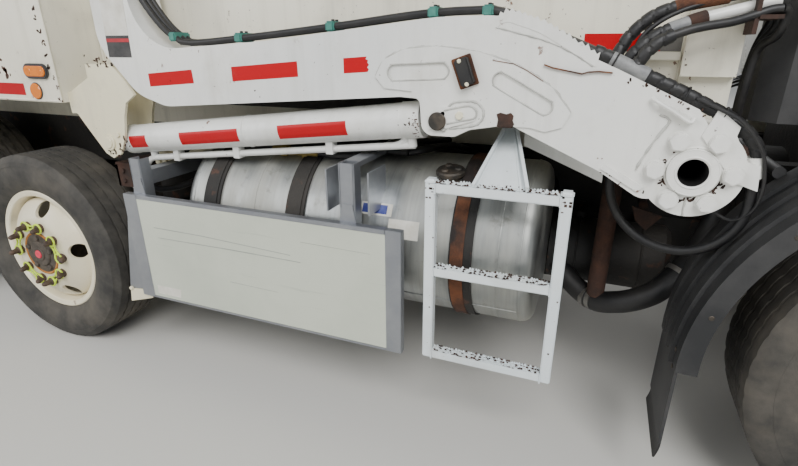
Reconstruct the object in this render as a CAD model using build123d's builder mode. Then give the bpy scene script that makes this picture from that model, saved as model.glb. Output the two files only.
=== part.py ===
from build123d import *
import os
from math import atan2, cos, degrees, hypot, pi, radians, sin, tan

# A front-loading garbage truck, parked with its arms stowed back along the body.
# Millimetres. +X is the front, +Y the driver's left, +Z up, the ground is Z = 0.

os.makedirs("parts", exist_ok=True)

# Overall
front_end = 4900.0
rear_end = -4900.0
seat_gap = 0.3                  # clearance where one piece sits on another
pin_gap = 0.05                  # radial clearance of a shaft in its bore

# Tyres and wheels: radius, width, distance of the middle plane from the centre line
steer_x = 3570.0
steer_radius = 530.0
steer_width = 315.0
steer_mid = 1112.0
pusher_x = 124.0
pusher_radius = 475.0
pusher_width = 290.0
pusher_mid = 1156.0
drive_xs = (-1250.0, -2600.0)
drive_radius = 520.0
drive_width = 280.0
dual_mid = 920.0                # the plane where the two discs of a dual pair meet
dual_offset = 160.0
rim_seat = 289.0
rim_wall = 14.0
rim_flange = 303.5
rim_half = 115.0
flange_wall = 12.0
disc_wall = 12.0
hub_bore = 111.0
stud_circle = 142.9
stud_count = 10
stud_radius = 16.5
hand_hole_count = 5
hand_hole_circle = 225.0
hand_hole_radius = 31.0

# Frame
rail_inner = 350.0
rail_flange = 80.0
rail_low = 710.0
rail_high = 980.0
rail_web = 10.0
rail_front = 4600.0
rail_rear = -4050.0
cross_member_xs = (4545.0, 3000.0, 1900.0, 800.0, -400.0, -1925.0, -3400.0, -4000.0)
cross_member_wide = 90.0

# Tow eyes under the bumper
tow_x = 4845.0
tow_z = 390.0
tow_radius = 20.0

# Gearbox and propeller shafts, which pass under the cross members and over the pusher axle
gearbox_rear = 3060.0
gearbox_radius = 200.0
gearbox_z = 780.0
shaft_radius = 45.0
shaft_flange = 70.0
shaft_front = 2960.0
shaft_z = 645.0
shaft_hanger_x = 800.0

# Steering
kingpin_mid = 915.0
kingpin_radius = 24.0
spindle_radius = 45.0

# Body and hopper
body_half = 1220.0
body_low = 1186.0
body_high = 3750.0
body_rear = -4000.0
body_front = 400.0
body_wall = 8.0
body_floor = 20.0
recess_half = 980.0
hopper_front = 2890.0
hopper_high = 3180.0
hopper_wall = 10.0
body_rib_xs = (-3200.0, -2500.0, -1800.0, -1100.0, -400.0)

# Arms, about their pivot
pivot_x = 2805.0
pivot_z = 1092.0
arm_outer = 1187.0
arm_inner = 1030.0
arm_plate = 12.0
torque_radius = 86.0
torque_bore = 38.0
pivot_ring = 64.0
pivot_boss = 127.0
pivot_bolt_circle = 187.0 / 2
pivot_bolt_count = 6
pivot_bolt_radius = 25.0
arm_reach = 2155.0              # pivot to the back of the upright part
arm_depth = 195.0               # width of the upright part
arm_height = 2700.0             # pivot to the top of the arm
fork_pivot_dx = 400.0
fork_pivot_dz = 2600.0
fork_shaft_radius = 55.0
fork_length = 1400.0
fork_mid = 840.0
fork_wide = 80.0

# Plates welded on the outside of each arm, as their thickness and corners (X, Z): the doubler, which follows
# the arm's lower edge round the lug, the keeper of the lug's pin, the hose bracket beyond the pivot, and two
# guide tabs. Then the slots pressed in the doubler, as their two ends and their width.
doubler_plate = 6.0
doubler_inset = 2.0
arm_doublers = [
    (doubler_plate, [(1896, 1287), (1865, 1321), (1893, 1372), (1964, 1404), (2067, 1413), (2200, 1397),
                     (2318, 1360), (2416, 1302), (2473, 1234), (2453, 1192), (2407, 1177), (2363, 1187),
                     (2310, 1187), (2310, 1120), (1990, 1120), (1990, 1280)]),
    (2 * doubler_plate, [(2050, 1165), (2045, 1213), (2080, 1236), (2190, 1240), (2205, 1222), (2196, 1199),
                         (2110, 1172)]),
    (doubler_plate, [(2808, 1190), (2835, 1262), (2891, 1218), (2887, 1195), (2924, 1130), (2955, 1122),
                     (2962, 1054), (2904, 1073)]),
    (doubler_plate, [(2700, 1274), (2784, 1235), (2773, 1219), (2696, 1258)]),
    (doubler_plate, [(2572, 1082), (2583, 1094), (2691, 1040), (2680, 1022)])]
arm_slots = [((1908, 1334), (2110, 1344), 45), ((2247, 1330), (2420, 1238), 42)]

# Lift cylinders: rod eye on the arm's lug, base in the bracket on the recess corner
lug_dx = -726.0
lug_dz = 100.0
lift_length = 1494.0
lift_angle = 6.5
lift_radius = 60.0
lift_rod_radius = 30.0
lift_mid = 1110.0
lift_pin = 25.0
lift_eye_wide = 64.0

port_tube_radius = 13.0
port_tube_drop = 85.0           # from the barrel's axis to the tube that runs under it

# Hydraulic hose that loops under the right arm's pivot
hose_radius = 14.0
hose_fitting = 24.0
hose_points = [(2952, -1165, 1085), (2964, -1165, 1002), (2944, -1160, 924), (2896, -1139, 862),
               (2828, -1108, 826), (2740, -1068, 828), (2670, -1038, 866), (2624, -1018, 930),
               (2605, -1010, 1005), (2605, -1010, 1085)]

# Fork cylinders
fork_base_dx = -900.0
fork_base_dz = 2600.0
fork_crank = 180.0
fork_crank_angle = 170.0
fork_cyl_mid = 990.0
fork_cyl_radius = 30.0
fork_cyl_rod = 18.0
fork_cyl_pin = 16.0
fork_cyl_eye = 24.0

# Tailgate
gate_hinge_x = -4030.0
gate_hinge_z = body_high + 22
gate_gap = 8.0
gate_wall = 8.0
gate_rib = 40.0                 # how far the ribs stand out
gate_rib_ys = (-1160.0, -580.0, 0.0, 580.0, 1160.0)
gate_cyl_mid = 1262.0
gate_cyl_radius = 30.0
gate_rod_radius = 18.0
gate_pin = 16.0
gate_base = (-3500.0, 1900.0)
gate_eye = (-4350.0, 2980.0)

# Cab
cab_half = 1220.0
cab_wall = 45.0
cab_rear = 3290.0
cab_front = 4850.0
cab_roof = 2930.0
cab_brow_x = 4440.0             # where the windscreen meets the roof
cab_brow_z = 2850.0
cab_belt = 1560.0
cab_sill = 640.0
cab_floor = 1320.0
footwell = 860.0
tunnel_half = 500.0
arch_radius = 735.0
door_rear = 4010.0
door_front = 4735.0
door_low = 760.0
door_high = 2690.0
door_gap = 8.0
door_hinge_x = 4741.0
door_hinge_y = 1238.0
hinge_zs = (1000.0, 1450.0)
grille_half = 620.0
grille_low = 960.0
grille_high = 1420.0
grille_deep = 25.0
grille_slats = 7
lamp_ys = (780.0, 1120.0)
lamp_zs = (690.0, 850.0)
lamp_deep = 30.0
roof_lamp_ys = (-950.0, -160.0, 0.0, 160.0, 950.0)

# Steer fenders: a moulded arc with an outer lip and raised ridges, given as their place across the
# fender, their height over its inner face and their width
fender_in = 700.0
fender_shell = 14.0
fender_wide = 335.0
fender_lip = 45.0
fender_rings = ((322.0, fender_shell, 13.0), (60.0, 26.0, 40.0), (150.0, 26.0, 40.0), (240.0, 26.0, 40.0))

# Air intake duct on the cab's back
intake_rear = 2970.0
intake_ys = (-950.0, -740.0)
intake_low = 1200.0
intake_high = 2800.0

# Tank, guard and step on the photographed side
tank_mid = 905.0
tank_z = 720.0
tank_radius = 305.0
tank_front = 2420.0
tank_rear = 980.0
strap_xs = (1125.0, 1520.0, 2175.0)
strap_wide = 80.0
guard_face = 1295.0
guard_rear = 821.0
guard_front = 1994.0
guard_low = 366.0
guard_high = 840.0
guard_thick = 30.0
guard_post = 50.0
# Its two posts and the arms that carry them: place along the truck, the arm's underside and top, the
# post's top, and how far from the centre line the arm ends
guard_arms = ((guard_rear + 40, 872, 932, 985, rail_inner + rail_flange), (guard_front - 240, 1028, 1047, 1047, 425))
step_rear = 2074.0
step_front = 2513.0
step_low = 381.0
step_high = 1020.0
step_tube = 34.0


def block(xs, ys, zs, mode=Mode.ADD):
    """A box given by its ranges along X, Y and Z."""
    centre = ((xs[0] + xs[1]) / 2, (ys[0] + ys[1]) / 2, (zs[0] + zs[1]) / 2)
    with Locations(centre):
        Box(abs(xs[1] - xs[0]), abs(ys[1] - ys[0]), abs(zs[1] - zs[0]), mode=mode)


def bar_y(x, z, ys, radius, mode=Mode.ADD):
    """A round bar or bore along Y."""
    with Locations((x, (ys[0] + ys[1]) / 2, z)):
        Cylinder(radius, abs(ys[1] - ys[0]), rotation=(90, 0, 0), mode=mode)


def bar_x(xs, y, z, radius, mode=Mode.ADD):
    """A round bar or bore along X."""
    with Locations(((xs[0] + xs[1]) / 2, y, z)):
        Cylinder(radius, abs(xs[1] - xs[0]), rotation=(0, 90, 0), mode=mode)


def along(start, angle, distance):
    """The point at a distance from start, at an angle above +X in the XZ plane."""
    return (start[0] + distance * cos(radians(angle)), start[1] + distance * sin(radians(angle)))


def save(piece, name):
    piece.part.label = name
    export_step(piece.part, "parts/" + name + ".step")


def mirrored(piece):
    """The same piece on the other side of the truck."""
    with BuildPart() as other:
        add(mirror(piece.part, about=Plane.XZ, mode=Mode.PRIVATE))
    return other


def both_sides(piece):
    """One node that holds a piece and its mirror image."""
    with BuildPart() as pair:
        add(piece.part)
        add(mirror(piece.part, about=Plane.XZ, mode=Mode.PRIVATE))
    return pair


# Tyres. The section is drawn with X as the radius and Y as the distance across.
def tyre(x, middles, radius, width):
    half = width / 2
    bead = rim_half - flange_wall - 1
    side = [(rim_seat + seat_gap, bead), (rim_flange + 1, bead), ((rim_flange + radius) / 2, half),
            (radius - 24, half - 14), (radius, half - 40)]
    section = side + [(r, -y) for r, y in reversed(side)]
    with BuildPart() as piece:
        for middle in middles:
            plane = Plane(origin=(x, middle, radius), x_dir=(1, 0, 0), z_dir=(0, 0, 1))
            with BuildSketch(plane):
                with BuildLine():
                    Polyline(*section, close=True)
                make_face()
            revolve(axis=Axis((x, middle, radius), (0, 1, 0)))
    return piece


# Steel disc wheels. outward is +1 where the disc lies on the +Y side of the rim's middle.
def rim(x, middle, radius, disc_face, outward, hub_reach):
    """One wheel: rim, dished disc with hand holes, and the hub that it is bolted to."""
    with BuildPart() as piece:
        inner = rim_seat - rim_wall
        ring = [(inner, -rim_half + 4), (rim_flange, -rim_half), (rim_flange, -rim_half + flange_wall),
                (rim_seat, -rim_half + flange_wall), (rim_seat, rim_half - flange_wall),
                (rim_flange, rim_half - flange_wall), (rim_flange, rim_half), (inner, rim_half - 4)]
        well = disc_face - 75
        disc = [(inner + 4, well), (inner + 4, well - disc_wall), (inner - 20, well - disc_wall),
                (190, disc_face - disc_wall), (60, disc_face - disc_wall), (60, disc_face), (195, disc_face),
                (inner - 20, well + 6)]
        for outline in (ring, disc):
            plane = Plane(origin=(x, middle, radius), x_dir=(1, 0, 0), z_dir=(0, 0, 1))
            with BuildSketch(plane):
                with BuildLine():
                    Polyline(*[(r, outward * y) for r, y in outline], close=True)
                make_face()
            revolve(axis=Axis((x, middle, radius), (0, 1, 0)))
        reach = (middle + outward * (disc_face - 30), middle + outward * (disc_face + hub_reach))
        bar_y(x, radius, reach, 96)
        for turn in range(hand_hole_count):
            angle = 2 * pi * turn / hand_hole_count + pi / 2
            hole = (x + hand_hole_circle * cos(angle), radius + hand_hole_circle * sin(angle))
            bar_y(hole[0], hole[1], (middle + outward * (well - 60), middle + outward * (disc_face + 40)),
                  hand_hole_radius, mode=Mode.SUBTRACT)
        for turn in range(stud_count):
            angle = 2 * pi * turn / stud_count
            stud = (x + stud_circle * cos(angle), radius + stud_circle * sin(angle))
            bar_y(stud[0], stud[1], (middle + outward * (disc_face - 1), middle + outward * (disc_face + 66)),
                  stud_radius)
    return piece.part


# Frame: two channel rails, and the cross members between them
with BuildPart() as rail:
    block((rail_rear, rail_front), (-rail_inner, -rail_inner - rail_flange), (rail_low, rail_high))
    block((rail_rear, rail_front), (-rail_inner, -rail_inner - rail_flange + rail_web),
          (rail_low + rail_web, rail_high - rail_web), mode=Mode.SUBTRACT)

with BuildPart() as frame:
    add(both_sides(rail))
    web_inner = rail_inner + rail_flange - rail_web - seat_gap
    for x in cross_member_xs:
        with BuildPart(mode=Mode.PRIVATE) as member:
            block((x - cross_member_wide / 2, x + cross_member_wide / 2), (-web_inner, web_inner),
                  (rail_low + rail_web + seat_gap, rail_high - rail_web - seat_gap))
            block((x - cross_member_wide / 2 + rail_web, x + cross_member_wide / 2),
                  (-web_inner, web_inner), (rail_low + 3 * rail_web, rail_high - 3 * rail_web),
                  mode=Mode.SUBTRACT)
        add(member)
save(frame, "frame")

with BuildPart() as front_bumper:
    with BuildSketch(Plane.XY.offset(420)):
        with BuildLine():
            Polyline((4620, -1180), (4860, -1180), (front_end, -1080), (front_end, 1080), (4860, 1180),
                     (4620, 1180), (4620, 1168), (4850, 1168), (4888, 1072), (4888, -1072),
                     (4850, -1168), (4620, -1168), close=True)
        make_face()
    extrude(amount=210)
    for side in (-1, 1):
        block((rail_front - 250, front_end - 11), (side * 440, side * 452), (440, cab_sill - 8))
        block((rail_front - 250, rail_front - 10), (side * (rail_inner + rail_flange + seat_gap),
                                                   side * 452), (500, 790))
        block((tow_x - 45, tow_x + 40), (side * 434, side * 458), (345, 441))
        block((4330, 4640), (side * 1168, side * 1180), (420, cab_sill - 8))
        block((4385, 4595), (side * 1167, side * 1181), (472, 600), mode=Mode.SUBTRACT)
        block((4330, 4640), (side * 1010, side * 1169), (440, 452))
        bar_y(tow_x, tow_z, (side * 433, side * 459), tow_radius, mode=Mode.SUBTRACT)
save(front_bumper, "front_bumper")

with BuildPart() as engine:
    block((3340, 4480), (-330, 330), (560, 1240))
    chamfer(engine.edges().filter_by(Axis.X), 90)
    for x in (3650, 4250):
        for side in (-1, 1):
            block((x - 50, x + 50), (side * 329, side * (rail_inner + rail_flange - rail_web - seat_gap)),
                  (rail_low + rail_web + seat_gap, rail_low + rail_web + 60))
save(engine, "engine")

# Driveline: gearbox behind the engine, a shaft in two lengths to the front drive axle with its hanger
# bearing under a cross member, and the short shaft between the two drive axles
with BuildPart() as driveline:
    bar_x((gearbox_rear, 3340 - seat_gap), 0, gearbox_z, gearbox_radius)
    bar_x((gearbox_rear - 60, gearbox_rear + 1), 0, shaft_z, shaft_flange - 10)
    axle_nose = drive_xs[0] + 110 + seat_gap
    bar_x((axle_nose, axle_nose + 40), 0, drive_radius, shaft_flange)
    for start, end in (((shaft_front + 42, shaft_z), (shaft_hanger_x, shaft_z - 5)),
                       ((shaft_hanger_x, shaft_z - 5), (axle_nose + 30, drive_radius))):
        angle = atan2(end[1] - start[1], end[0] - start[0])
        with BuildSketch(Plane(origin=(start[0], 0, start[1]), x_dir=(0, 1, 0),
                               z_dir=(cos(angle), 0, sin(angle)))):
            Circle(shaft_radius)
        extrude(amount=hypot(end[0] - start[0], end[1] - start[1]))
    block((shaft_hanger_x - 35, shaft_hanger_x + 35), (-75, 75), (shaft_z - 70, rail_low + rail_web))
    bar_x((drive_xs[1] + 110 + seat_gap, drive_xs[0] - 300 - seat_gap), 0, drive_radius, shaft_radius - 5)
save(driveline, "driveline")

# Steer axle, a beam dropped between the rails, with a fist at each end for the kingpin
with BuildPart() as steer_axle:
    block((steer_x - 50, steer_x + 50), (-kingpin_mid + 75, kingpin_mid - 75), (430, 540))
    for side in (-1, 1):
        block((steer_x - 45, steer_x + 45), (side * (kingpin_mid - 80), side * kingpin_mid), (490, 570))
        with Locations((steer_x, side * kingpin_mid, 530)):
            Cylinder(45, 80)
            Cylinder(kingpin_radius, 210)
        block((steer_x - 480, steer_x + 480), (side * 355, side * 425), (541, 600))
        block((steer_x - 480, steer_x - 380), (side * 360, side * 420), (600, rail_low - seat_gap))
        block((steer_x + 380, steer_x + 480), (side * 360, side * 420), (600, rail_low - seat_gap))
        block((steer_x - 60, steer_x + 60), (side * 350, side * 430), (420, 542))
save(steer_axle, "steer_axle")


def knuckle():
    """The right-hand steering knuckle: two ears on the kingpin and the spindle."""
    with BuildPart() as piece:
        block((steer_x - 50, steer_x + 50), (-kingpin_mid - 52, -kingpin_mid - 80), (430, 630))
        for low, high in ((430, 484), (576, 630)):
            block((steer_x - 42, steer_x + 42), (-kingpin_mid, -kingpin_mid - 60), (low, high))
            with Locations((steer_x, -kingpin_mid, (low + high) / 2)):
                Cylinder(42, high - low)
        bar_y(steer_x, steer_radius, (-kingpin_mid - 60, -steer_mid - 60), spindle_radius)
        with Locations((steer_x, -kingpin_mid, 530)):
            Cylinder(kingpin_radius + pin_gap, 300, mode=Mode.SUBTRACT)
    return piece


knuckle_right = knuckle()
knuckle_left = mirrored(knuckle_right)
save(knuckle_right, "knuckle_right")
save(knuckle_left, "knuckle_left")

with BuildPart() as steer_wheel_right:
    add(rim(steer_x, -steer_mid, steer_radius, 95, -1, 60))
    bar_y(steer_x, steer_radius, (-kingpin_mid - 81, -steer_mid - 70), spindle_radius + pin_gap,
          mode=Mode.SUBTRACT)
    bar_y(steer_x, steer_radius, (-kingpin_mid - 85, -steer_mid - 70), 96)
    bar_y(steer_x, steer_radius, (-kingpin_mid - 84, -steer_mid - 61), spindle_radius + pin_gap,
          mode=Mode.SUBTRACT)
save(steer_wheel_right, "steer_wheel_right")
save(mirrored(steer_wheel_right), "steer_wheel_left")
steer_tyre_right = tyre(steer_x, [-steer_mid], steer_radius, steer_width)
save(steer_tyre_right, "steer_tyre_right")
save(mirrored(steer_tyre_right), "steer_tyre_left")

# Pusher axle: a drop beam on its air springs, with a spindle at each end
with BuildPart() as pusher_axle:
    block((pusher_x - 55, pusher_x + 55), (-960, 960), (pusher_radius - 55, pusher_radius + 55))
    bar_y(pusher_x, pusher_radius, (-pusher_mid - 50, pusher_mid + 50), spindle_radius)
    for side in (-1, 1):
        spring_low = pusher_radius + 54
        spring_high = rail_low - seat_gap
        with Locations((pusher_x, side * 390, (spring_low + spring_high) / 2)):
            Cylinder(110, spring_high - spring_low)
        block((pusher_x + 54, pusher_x + 520), (side * 360, side * 420), (430, 500))
        block((pusher_x + 440, pusher_x + 520), (side * 360, side * 420), (500, rail_low - seat_gap))
save(pusher_axle, "pusher_axle")

with BuildPart() as pusher_wheel_right:
    add(rim(pusher_x, -pusher_mid, pusher_radius, 95, -1, 60))
    bar_y(pusher_x, pusher_radius, (-1000, -pusher_mid - 70), 96)
    bar_y(pusher_x, pusher_radius, (-990, -pusher_mid - 51), spindle_radius + pin_gap,
          mode=Mode.SUBTRACT)
save(pusher_wheel_right, "pusher_wheel_right")
save(mirrored(pusher_wheel_right), "pusher_wheel_left")
pusher_tyre_right = tyre(pusher_x, [-pusher_mid], pusher_radius, pusher_width)
save(pusher_tyre_right, "pusher_tyre_right")
save(mirrored(pusher_tyre_right), "pusher_tyre_left")

# Tandem drive axles with their housings, and the walking-beam springs that carry them
with BuildPart() as drive_axles:
    for x in drive_xs:
        bar_y(x, drive_radius, (-dual_mid + 70, dual_mid - 70), 70)
        bar_y(x, drive_radius, (-dual_mid - 60, dual_mid + 60), spindle_radius)
        bar_x((x - 60, x + 60), 0, drive_radius, 205)
        bar_x((x - 110, x + 110), 0, drive_radius, 160)
        block((x - 300, x), (-60, 60), (drive_radius - 60, drive_radius + 60))
save(drive_axles, "drive_axles")

with BuildPart() as rear_suspension:
    middle_x = sum(drive_xs) / 2
    for side in (-1, 1):
        block((drive_xs[1], drive_xs[0]), (side * 355, side * 425),
              (drive_radius + 70 + seat_gap, drive_radius + 140))
        block((middle_x - 160, middle_x + 160), (side * 355, side * 425),
              (drive_radius + 139, rail_low - seat_gap))
    bar_y(middle_x, drive_radius + 100, (-360, 360), 50)
save(rear_suspension, "rear_suspension")

for index, x in enumerate(drive_xs):
    place = ("front", "rear")[index]
    with BuildPart() as dual:
        add(rim(x, -dual_mid - dual_offset, drive_radius, dual_offset, 1, 0))
        add(rim(x, -dual_mid + dual_offset, drive_radius, dual_offset, -1, 0))
        bar_y(x, drive_radius, (-dual_mid + 66, -dual_mid - 175), 96)
        bar_y(x, drive_radius, (-dual_mid + 67, -dual_mid - 61), spindle_radius + pin_gap,
              mode=Mode.SUBTRACT)
    save(dual, "drive_wheels_" + place + "_right")
    save(mirrored(dual), "drive_wheels_" + place + "_left")
    dual_tyres = tyre(x, [-dual_mid - dual_offset, -dual_mid + dual_offset], drive_radius, drive_width)
    save(dual_tyres, "drive_tyres_" + place + "_right")
    save(mirrored(dual_tyres), "drive_tyres_" + place + "_left")

# Body: floor, sides with their ribs, roof and the portal that closes it round the hopper. It is open at
# the back, where the ears on its roof hold the tailgate's pin.
with BuildPart() as body_shell:
    with BuildSketch(Plane.YZ.offset(body_rear)):
        with BuildLine():
            FilletPolyline((-body_half, body_low), (-body_half, body_high), (body_half, body_high),
                           (body_half, body_low), radius=(160, 160))
            Line((body_half, body_low), (-body_half, body_low))
        make_face()
    extrude(amount=body_front - body_rear)
    with BuildSketch(Plane.YZ.offset(body_rear - 1)):
        with BuildLine():
            FilletPolyline((-body_half + body_wall, body_low + body_floor),
                           (-body_half + body_wall, body_high - body_wall),
                           (body_half - body_wall, body_high - body_wall),
                           (body_half - body_wall, body_low + body_floor),
                           radius=(160 - body_wall, 160 - body_wall))
            Line((body_half - body_wall, body_low + body_floor),
                 (-body_half + body_wall, body_low + body_floor))
        make_face()
    extrude(amount=body_front - body_rear + 1 - body_wall, mode=Mode.SUBTRACT)
    block((body_front - 2 * body_wall, body_front + 1), (-recess_half + hopper_wall,
          recess_half - hopper_wall), (body_low + body_floor, hopper_high - 60), mode=Mode.SUBTRACT)
    for side in (-1, 1):
        for x in body_rib_xs:
            block((x - 30, x + 30), (side * (body_half - 1), side * (body_half + 26)),
                  (body_low + 90, body_high - 250))
        bar_y(gate_base[0], gate_base[1], (side * (body_half - 1), side * (gate_cyl_mid + 14)), gate_pin)
        bar_y(gate_base[0], gate_base[1], (side * (body_half - 1), side * (gate_cyl_mid - 15)), 30)
    bar_y(gate_hinge_x, gate_hinge_z, (-800, 800), 12)
    for y in (-790, -610, -90, 90, 610, 790):
        block((gate_hinge_x - 16, body_rear + 60), (y - 10, y + 10), (body_high - 1, body_high + 38))
save(body_shell, "body_shell")

# Longitudinal sills that carry the body on the frame
with BuildPart() as sill_right:
    block((body_rear, hopper_front - 300), (-360, -425), (rail_high + seat_gap, body_low - seat_gap))
save(both_sides(sill_right), "body_sills")

# Hopper: a trough open at the top and towards the body
with BuildPart() as hopper:
    side_y = recess_half
    block((body_front + seat_gap, hopper_front), (-side_y, side_y), (body_low, hopper_high))
    block((body_front - 1, hopper_front - hopper_wall), (-side_y + hopper_wall, side_y - hopper_wall),
          (body_low + body_floor, hopper_high + 1), mode=Mode.SUBTRACT)
    for side in (-1, 1):
        block((body_front + seat_gap, hopper_front), (side * (side_y - 1), side * (side_y + 40)),
              (hopper_high - 90, hopper_high))
    block((hopper_front - 1, hopper_front + 60), (-side_y - 40, side_y + 40),
          (hopper_high - 90, hopper_high))
    for side in (-1, 1):
        block((hopper_front - 140, hopper_front), (side * (side_y - 1), side * (side_y + 36)),
              (1330, hopper_high - 80))
save(hopper, "hopper")

# Packing panel: a follower plate with stiffeners that sweeps the hopper floor
with BuildPart() as packer_panel:
    panel_half = recess_half - hopper_wall - 6
    block((2480, 2500), (-panel_half, panel_half), (body_low + body_floor + 6, 2150))
    for y in (-600, 0, 600):
        with BuildSketch(Plane.XZ.offset(-y - 20)):
            with BuildLine():
                Polyline((2499, body_low + body_floor + seat_gap), (2850, body_low + body_floor + seat_gap),
                         (2850, 1300), (2499, 2140), close=True)
            make_face()
        extrude(amount=40)
save(packer_panel, "packer_panel")

# Arms. The outline goes round from the pivot's top along the upper edge to the upright part.
arm_back = -arm_reach
arm_front_edge = -arm_reach + arm_depth
arm_outline = [(-13, 165), (-220, 261), (-553, 403), (-739, 401), (-1350, 338), (-1736, 315),
               (arm_front_edge, 303), (arm_front_edge, arm_height - 200),
               (fork_pivot_dx + 100, arm_height - 200), (fork_pivot_dx + 100, arm_height),
               (arm_back, arm_height), (arm_back, 320), (-1990, 140), (-1850, 98), (-856, 169), (-790, 165),
               (-780, 52), (-672, 52), (-623, 77), (-501, 99), (-232, -21), (-115, -92)]
arm_corners = [0, 200, 160, 60, 400, 200, 195, 160, 90, 90, 260, 160, 160, 160, 60, 20, 42, 30, 60, 60, 120, 60]


def inset_corners(corners, distance):
    """The corners of a polygon moved inwards, so that every side moves by the distance."""
    count = len(corners)
    following = corners[1:] + corners[:1]
    area = sum(a[0] * b[1] - b[0] * a[1] for a, b in zip(corners, following))
    turn = 1 if area > 0 else -1
    moved = []
    for index in range(count):
        before, here, after = corners[index - 1], corners[index], corners[(index + 1) % count]
        entry = Vector(here[0] - before[0], here[1] - before[1]).normalized()
        leave = Vector(after[0] - here[0], after[1] - here[1]).normalized()
        normal_in = Vector(-entry.Y, entry.X) * turn
        normal_out = Vector(-leave.Y, leave.X) * turn
        middle = (normal_in + normal_out) * (distance / (1 + normal_in.dot(normal_out)))
        moved.append((here[0] + middle.X, here[1] + middle.Y))
    return moved


def arm_profile(inset):
    """The arm's side outline, or its hollow when an inset is given."""
    corners = arm_outline + [(0, -60), (60, 60)]
    radii = arm_corners + [0, 0]
    if inset:
        corners = inset_corners(corners, inset)
        radii = [radius * 0.9 for radius in radii]
    with BuildSketch() as face:
        with BuildLine():
            FilletPolyline(*corners, radius=radii, close=True)
        make_face()
        if not inset:
            Circle(pivot_boss)
    return face.sketch


with BuildPart() as arm_right:
    pivot = Location((pivot_x, 0, pivot_z))
    with BuildSketch(Plane(origin=(pivot_x, -arm_inner, pivot_z), x_dir=(1, 0, 0), z_dir=(0, -1, 0))):
        add(arm_profile(0))
    extrude(amount=arm_outer - arm_inner)
    with BuildSketch(Plane(origin=(pivot_x, -arm_inner - arm_plate, pivot_z), x_dir=(1, 0, 0),
                           z_dir=(0, -1, 0))):
        add(arm_profile(arm_plate))
    extrude(amount=arm_outer - arm_inner - 2 * arm_plate, mode=Mode.SUBTRACT)
    gap = (-arm_inner - arm_plate, -arm_outer + arm_plate)
    block((pivot_x - 800, pivot_x - 250), gap, (pivot_z - 40, pivot_z + 230), mode=Mode.SUBTRACT)
    block((pivot_x - 900, pivot_x - 799), gap, (pivot_z + 20, pivot_z + 150), mode=Mode.SUBTRACT)
    for index, (thick, outline) in enumerate(arm_doublers):
        with BuildSketch(Plane(origin=(pivot_x, -arm_outer + 1, pivot_z), x_dir=(1, 0, 0), z_dir=(0, -1, 0))):
            with BuildLine():
                Polyline(*[(x - pivot_x, z - pivot_z) for x, z in outline], close=True)
            make_face()
            if index == 0:
                add(arm_profile(doubler_inset), mode=Mode.INTERSECT)
        extrude(amount=1 + thick)
    for start, end, wide in arm_slots:
        middle = ((start[0] + end[0]) / 2, (start[1] + end[1]) / 2)
        turn = degrees(atan2(end[1] - start[1], end[0] - start[0]))
        with BuildSketch(Plane.XZ.offset(arm_outer)):
            with Locations(Location((middle[0], middle[1]), turn)):
                SlotOverall(hypot(end[0] - start[0], end[1] - start[1]), wide)
        extrude(amount=2 * doubler_plate, mode=Mode.SUBTRACT)
    bar_y(pivot_x, pivot_z, (-arm_inner, -arm_outer - 14), pivot_ring)
    bar_y(pivot_x, pivot_z, (-arm_inner - arm_plate, -arm_outer), pivot_boss - 8)
    bar_y(pivot_x, pivot_z, (-arm_inner + 1, -arm_outer - 15), torque_bore, mode=Mode.SUBTRACT)
    for turn in range(pivot_bolt_count):
        angle = 2 * pi * turn / pivot_bolt_count
        bar_y(pivot_x + pivot_bolt_circle * cos(angle), pivot_z + pivot_bolt_circle * sin(angle),
              (-arm_outer + 1, -arm_outer - 12), pivot_bolt_radius)
    tip = (pivot_x + fork_pivot_dx, pivot_z + fork_pivot_dz)
    bar_y(tip[0], tip[1], (-arm_inner, -arm_outer), 85)
    bar_y(tip[0], tip[1], (-arm_inner + 1, -arm_outer - 1), fork_shaft_radius + pin_gap,
          mode=Mode.SUBTRACT)
    base = (pivot_x + fork_base_dx, pivot_z + fork_base_dz)
    bar_y(base[0], base[1], (-arm_inner - 2, -fork_cyl_mid + fork_cyl_eye / 2 + 4), fork_cyl_pin)
    lug = (pivot_x + lug_dx, pivot_z + lug_dz)
    for ys in ((-arm_inner - 1, -lift_mid + lift_eye_wide / 2 + 8),
               (-arm_outer + 1, -lift_mid - lift_eye_wide / 2 - 8), (-arm_outer + 1, -arm_outer - 18)):
        bar_y(lug[0], lug[1], ys, lift_pin)
save(mirrored(arm_right), "arm_left")
first, second, last = (Vector(*hose_points[index]) for index in (0, 1, -1))
with arm_right:
    with BuildSketch(Plane(origin=first, z_dir=first - second)):
        Circle(hose_fitting)
    extrude(amount=55)
    block((last.X - 24, last.X + 24), (-arm_inner - 1, -arm_inner + 42), (last.Z, last.Z + 40))
save(arm_right, "arm_right")

# The hose's own line: straight runs joined by arcs as large as each pair of runs allows
with BuildPart() as pivot_hose:
    corners = [Vector(*point) for point in hose_points]
    radii = []
    for before, here, after in zip(corners, corners[1:], corners[2:]):
        turn = radians((here - before).get_angle(after - here))
        radii.append(0.45 * min((here - before).length, (after - here).length) / tan(turn / 2))
    print("hose radii", [round(radius) for radius in radii])
    with BuildLine() as route:
        FilletPolyline(*corners, radius=radii)
    with BuildSketch(Plane(origin=first, z_dir=second - first)):
        Circle(hose_radius)
    sweep(path=route.wire())
    print("hose length", round(route.wire().length), "volume against section",
          round(pivot_hose.part.volume / (pi * hose_radius ** 2 * route.wire().length), 3))
save(pivot_hose, "pivot_hose")

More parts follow.
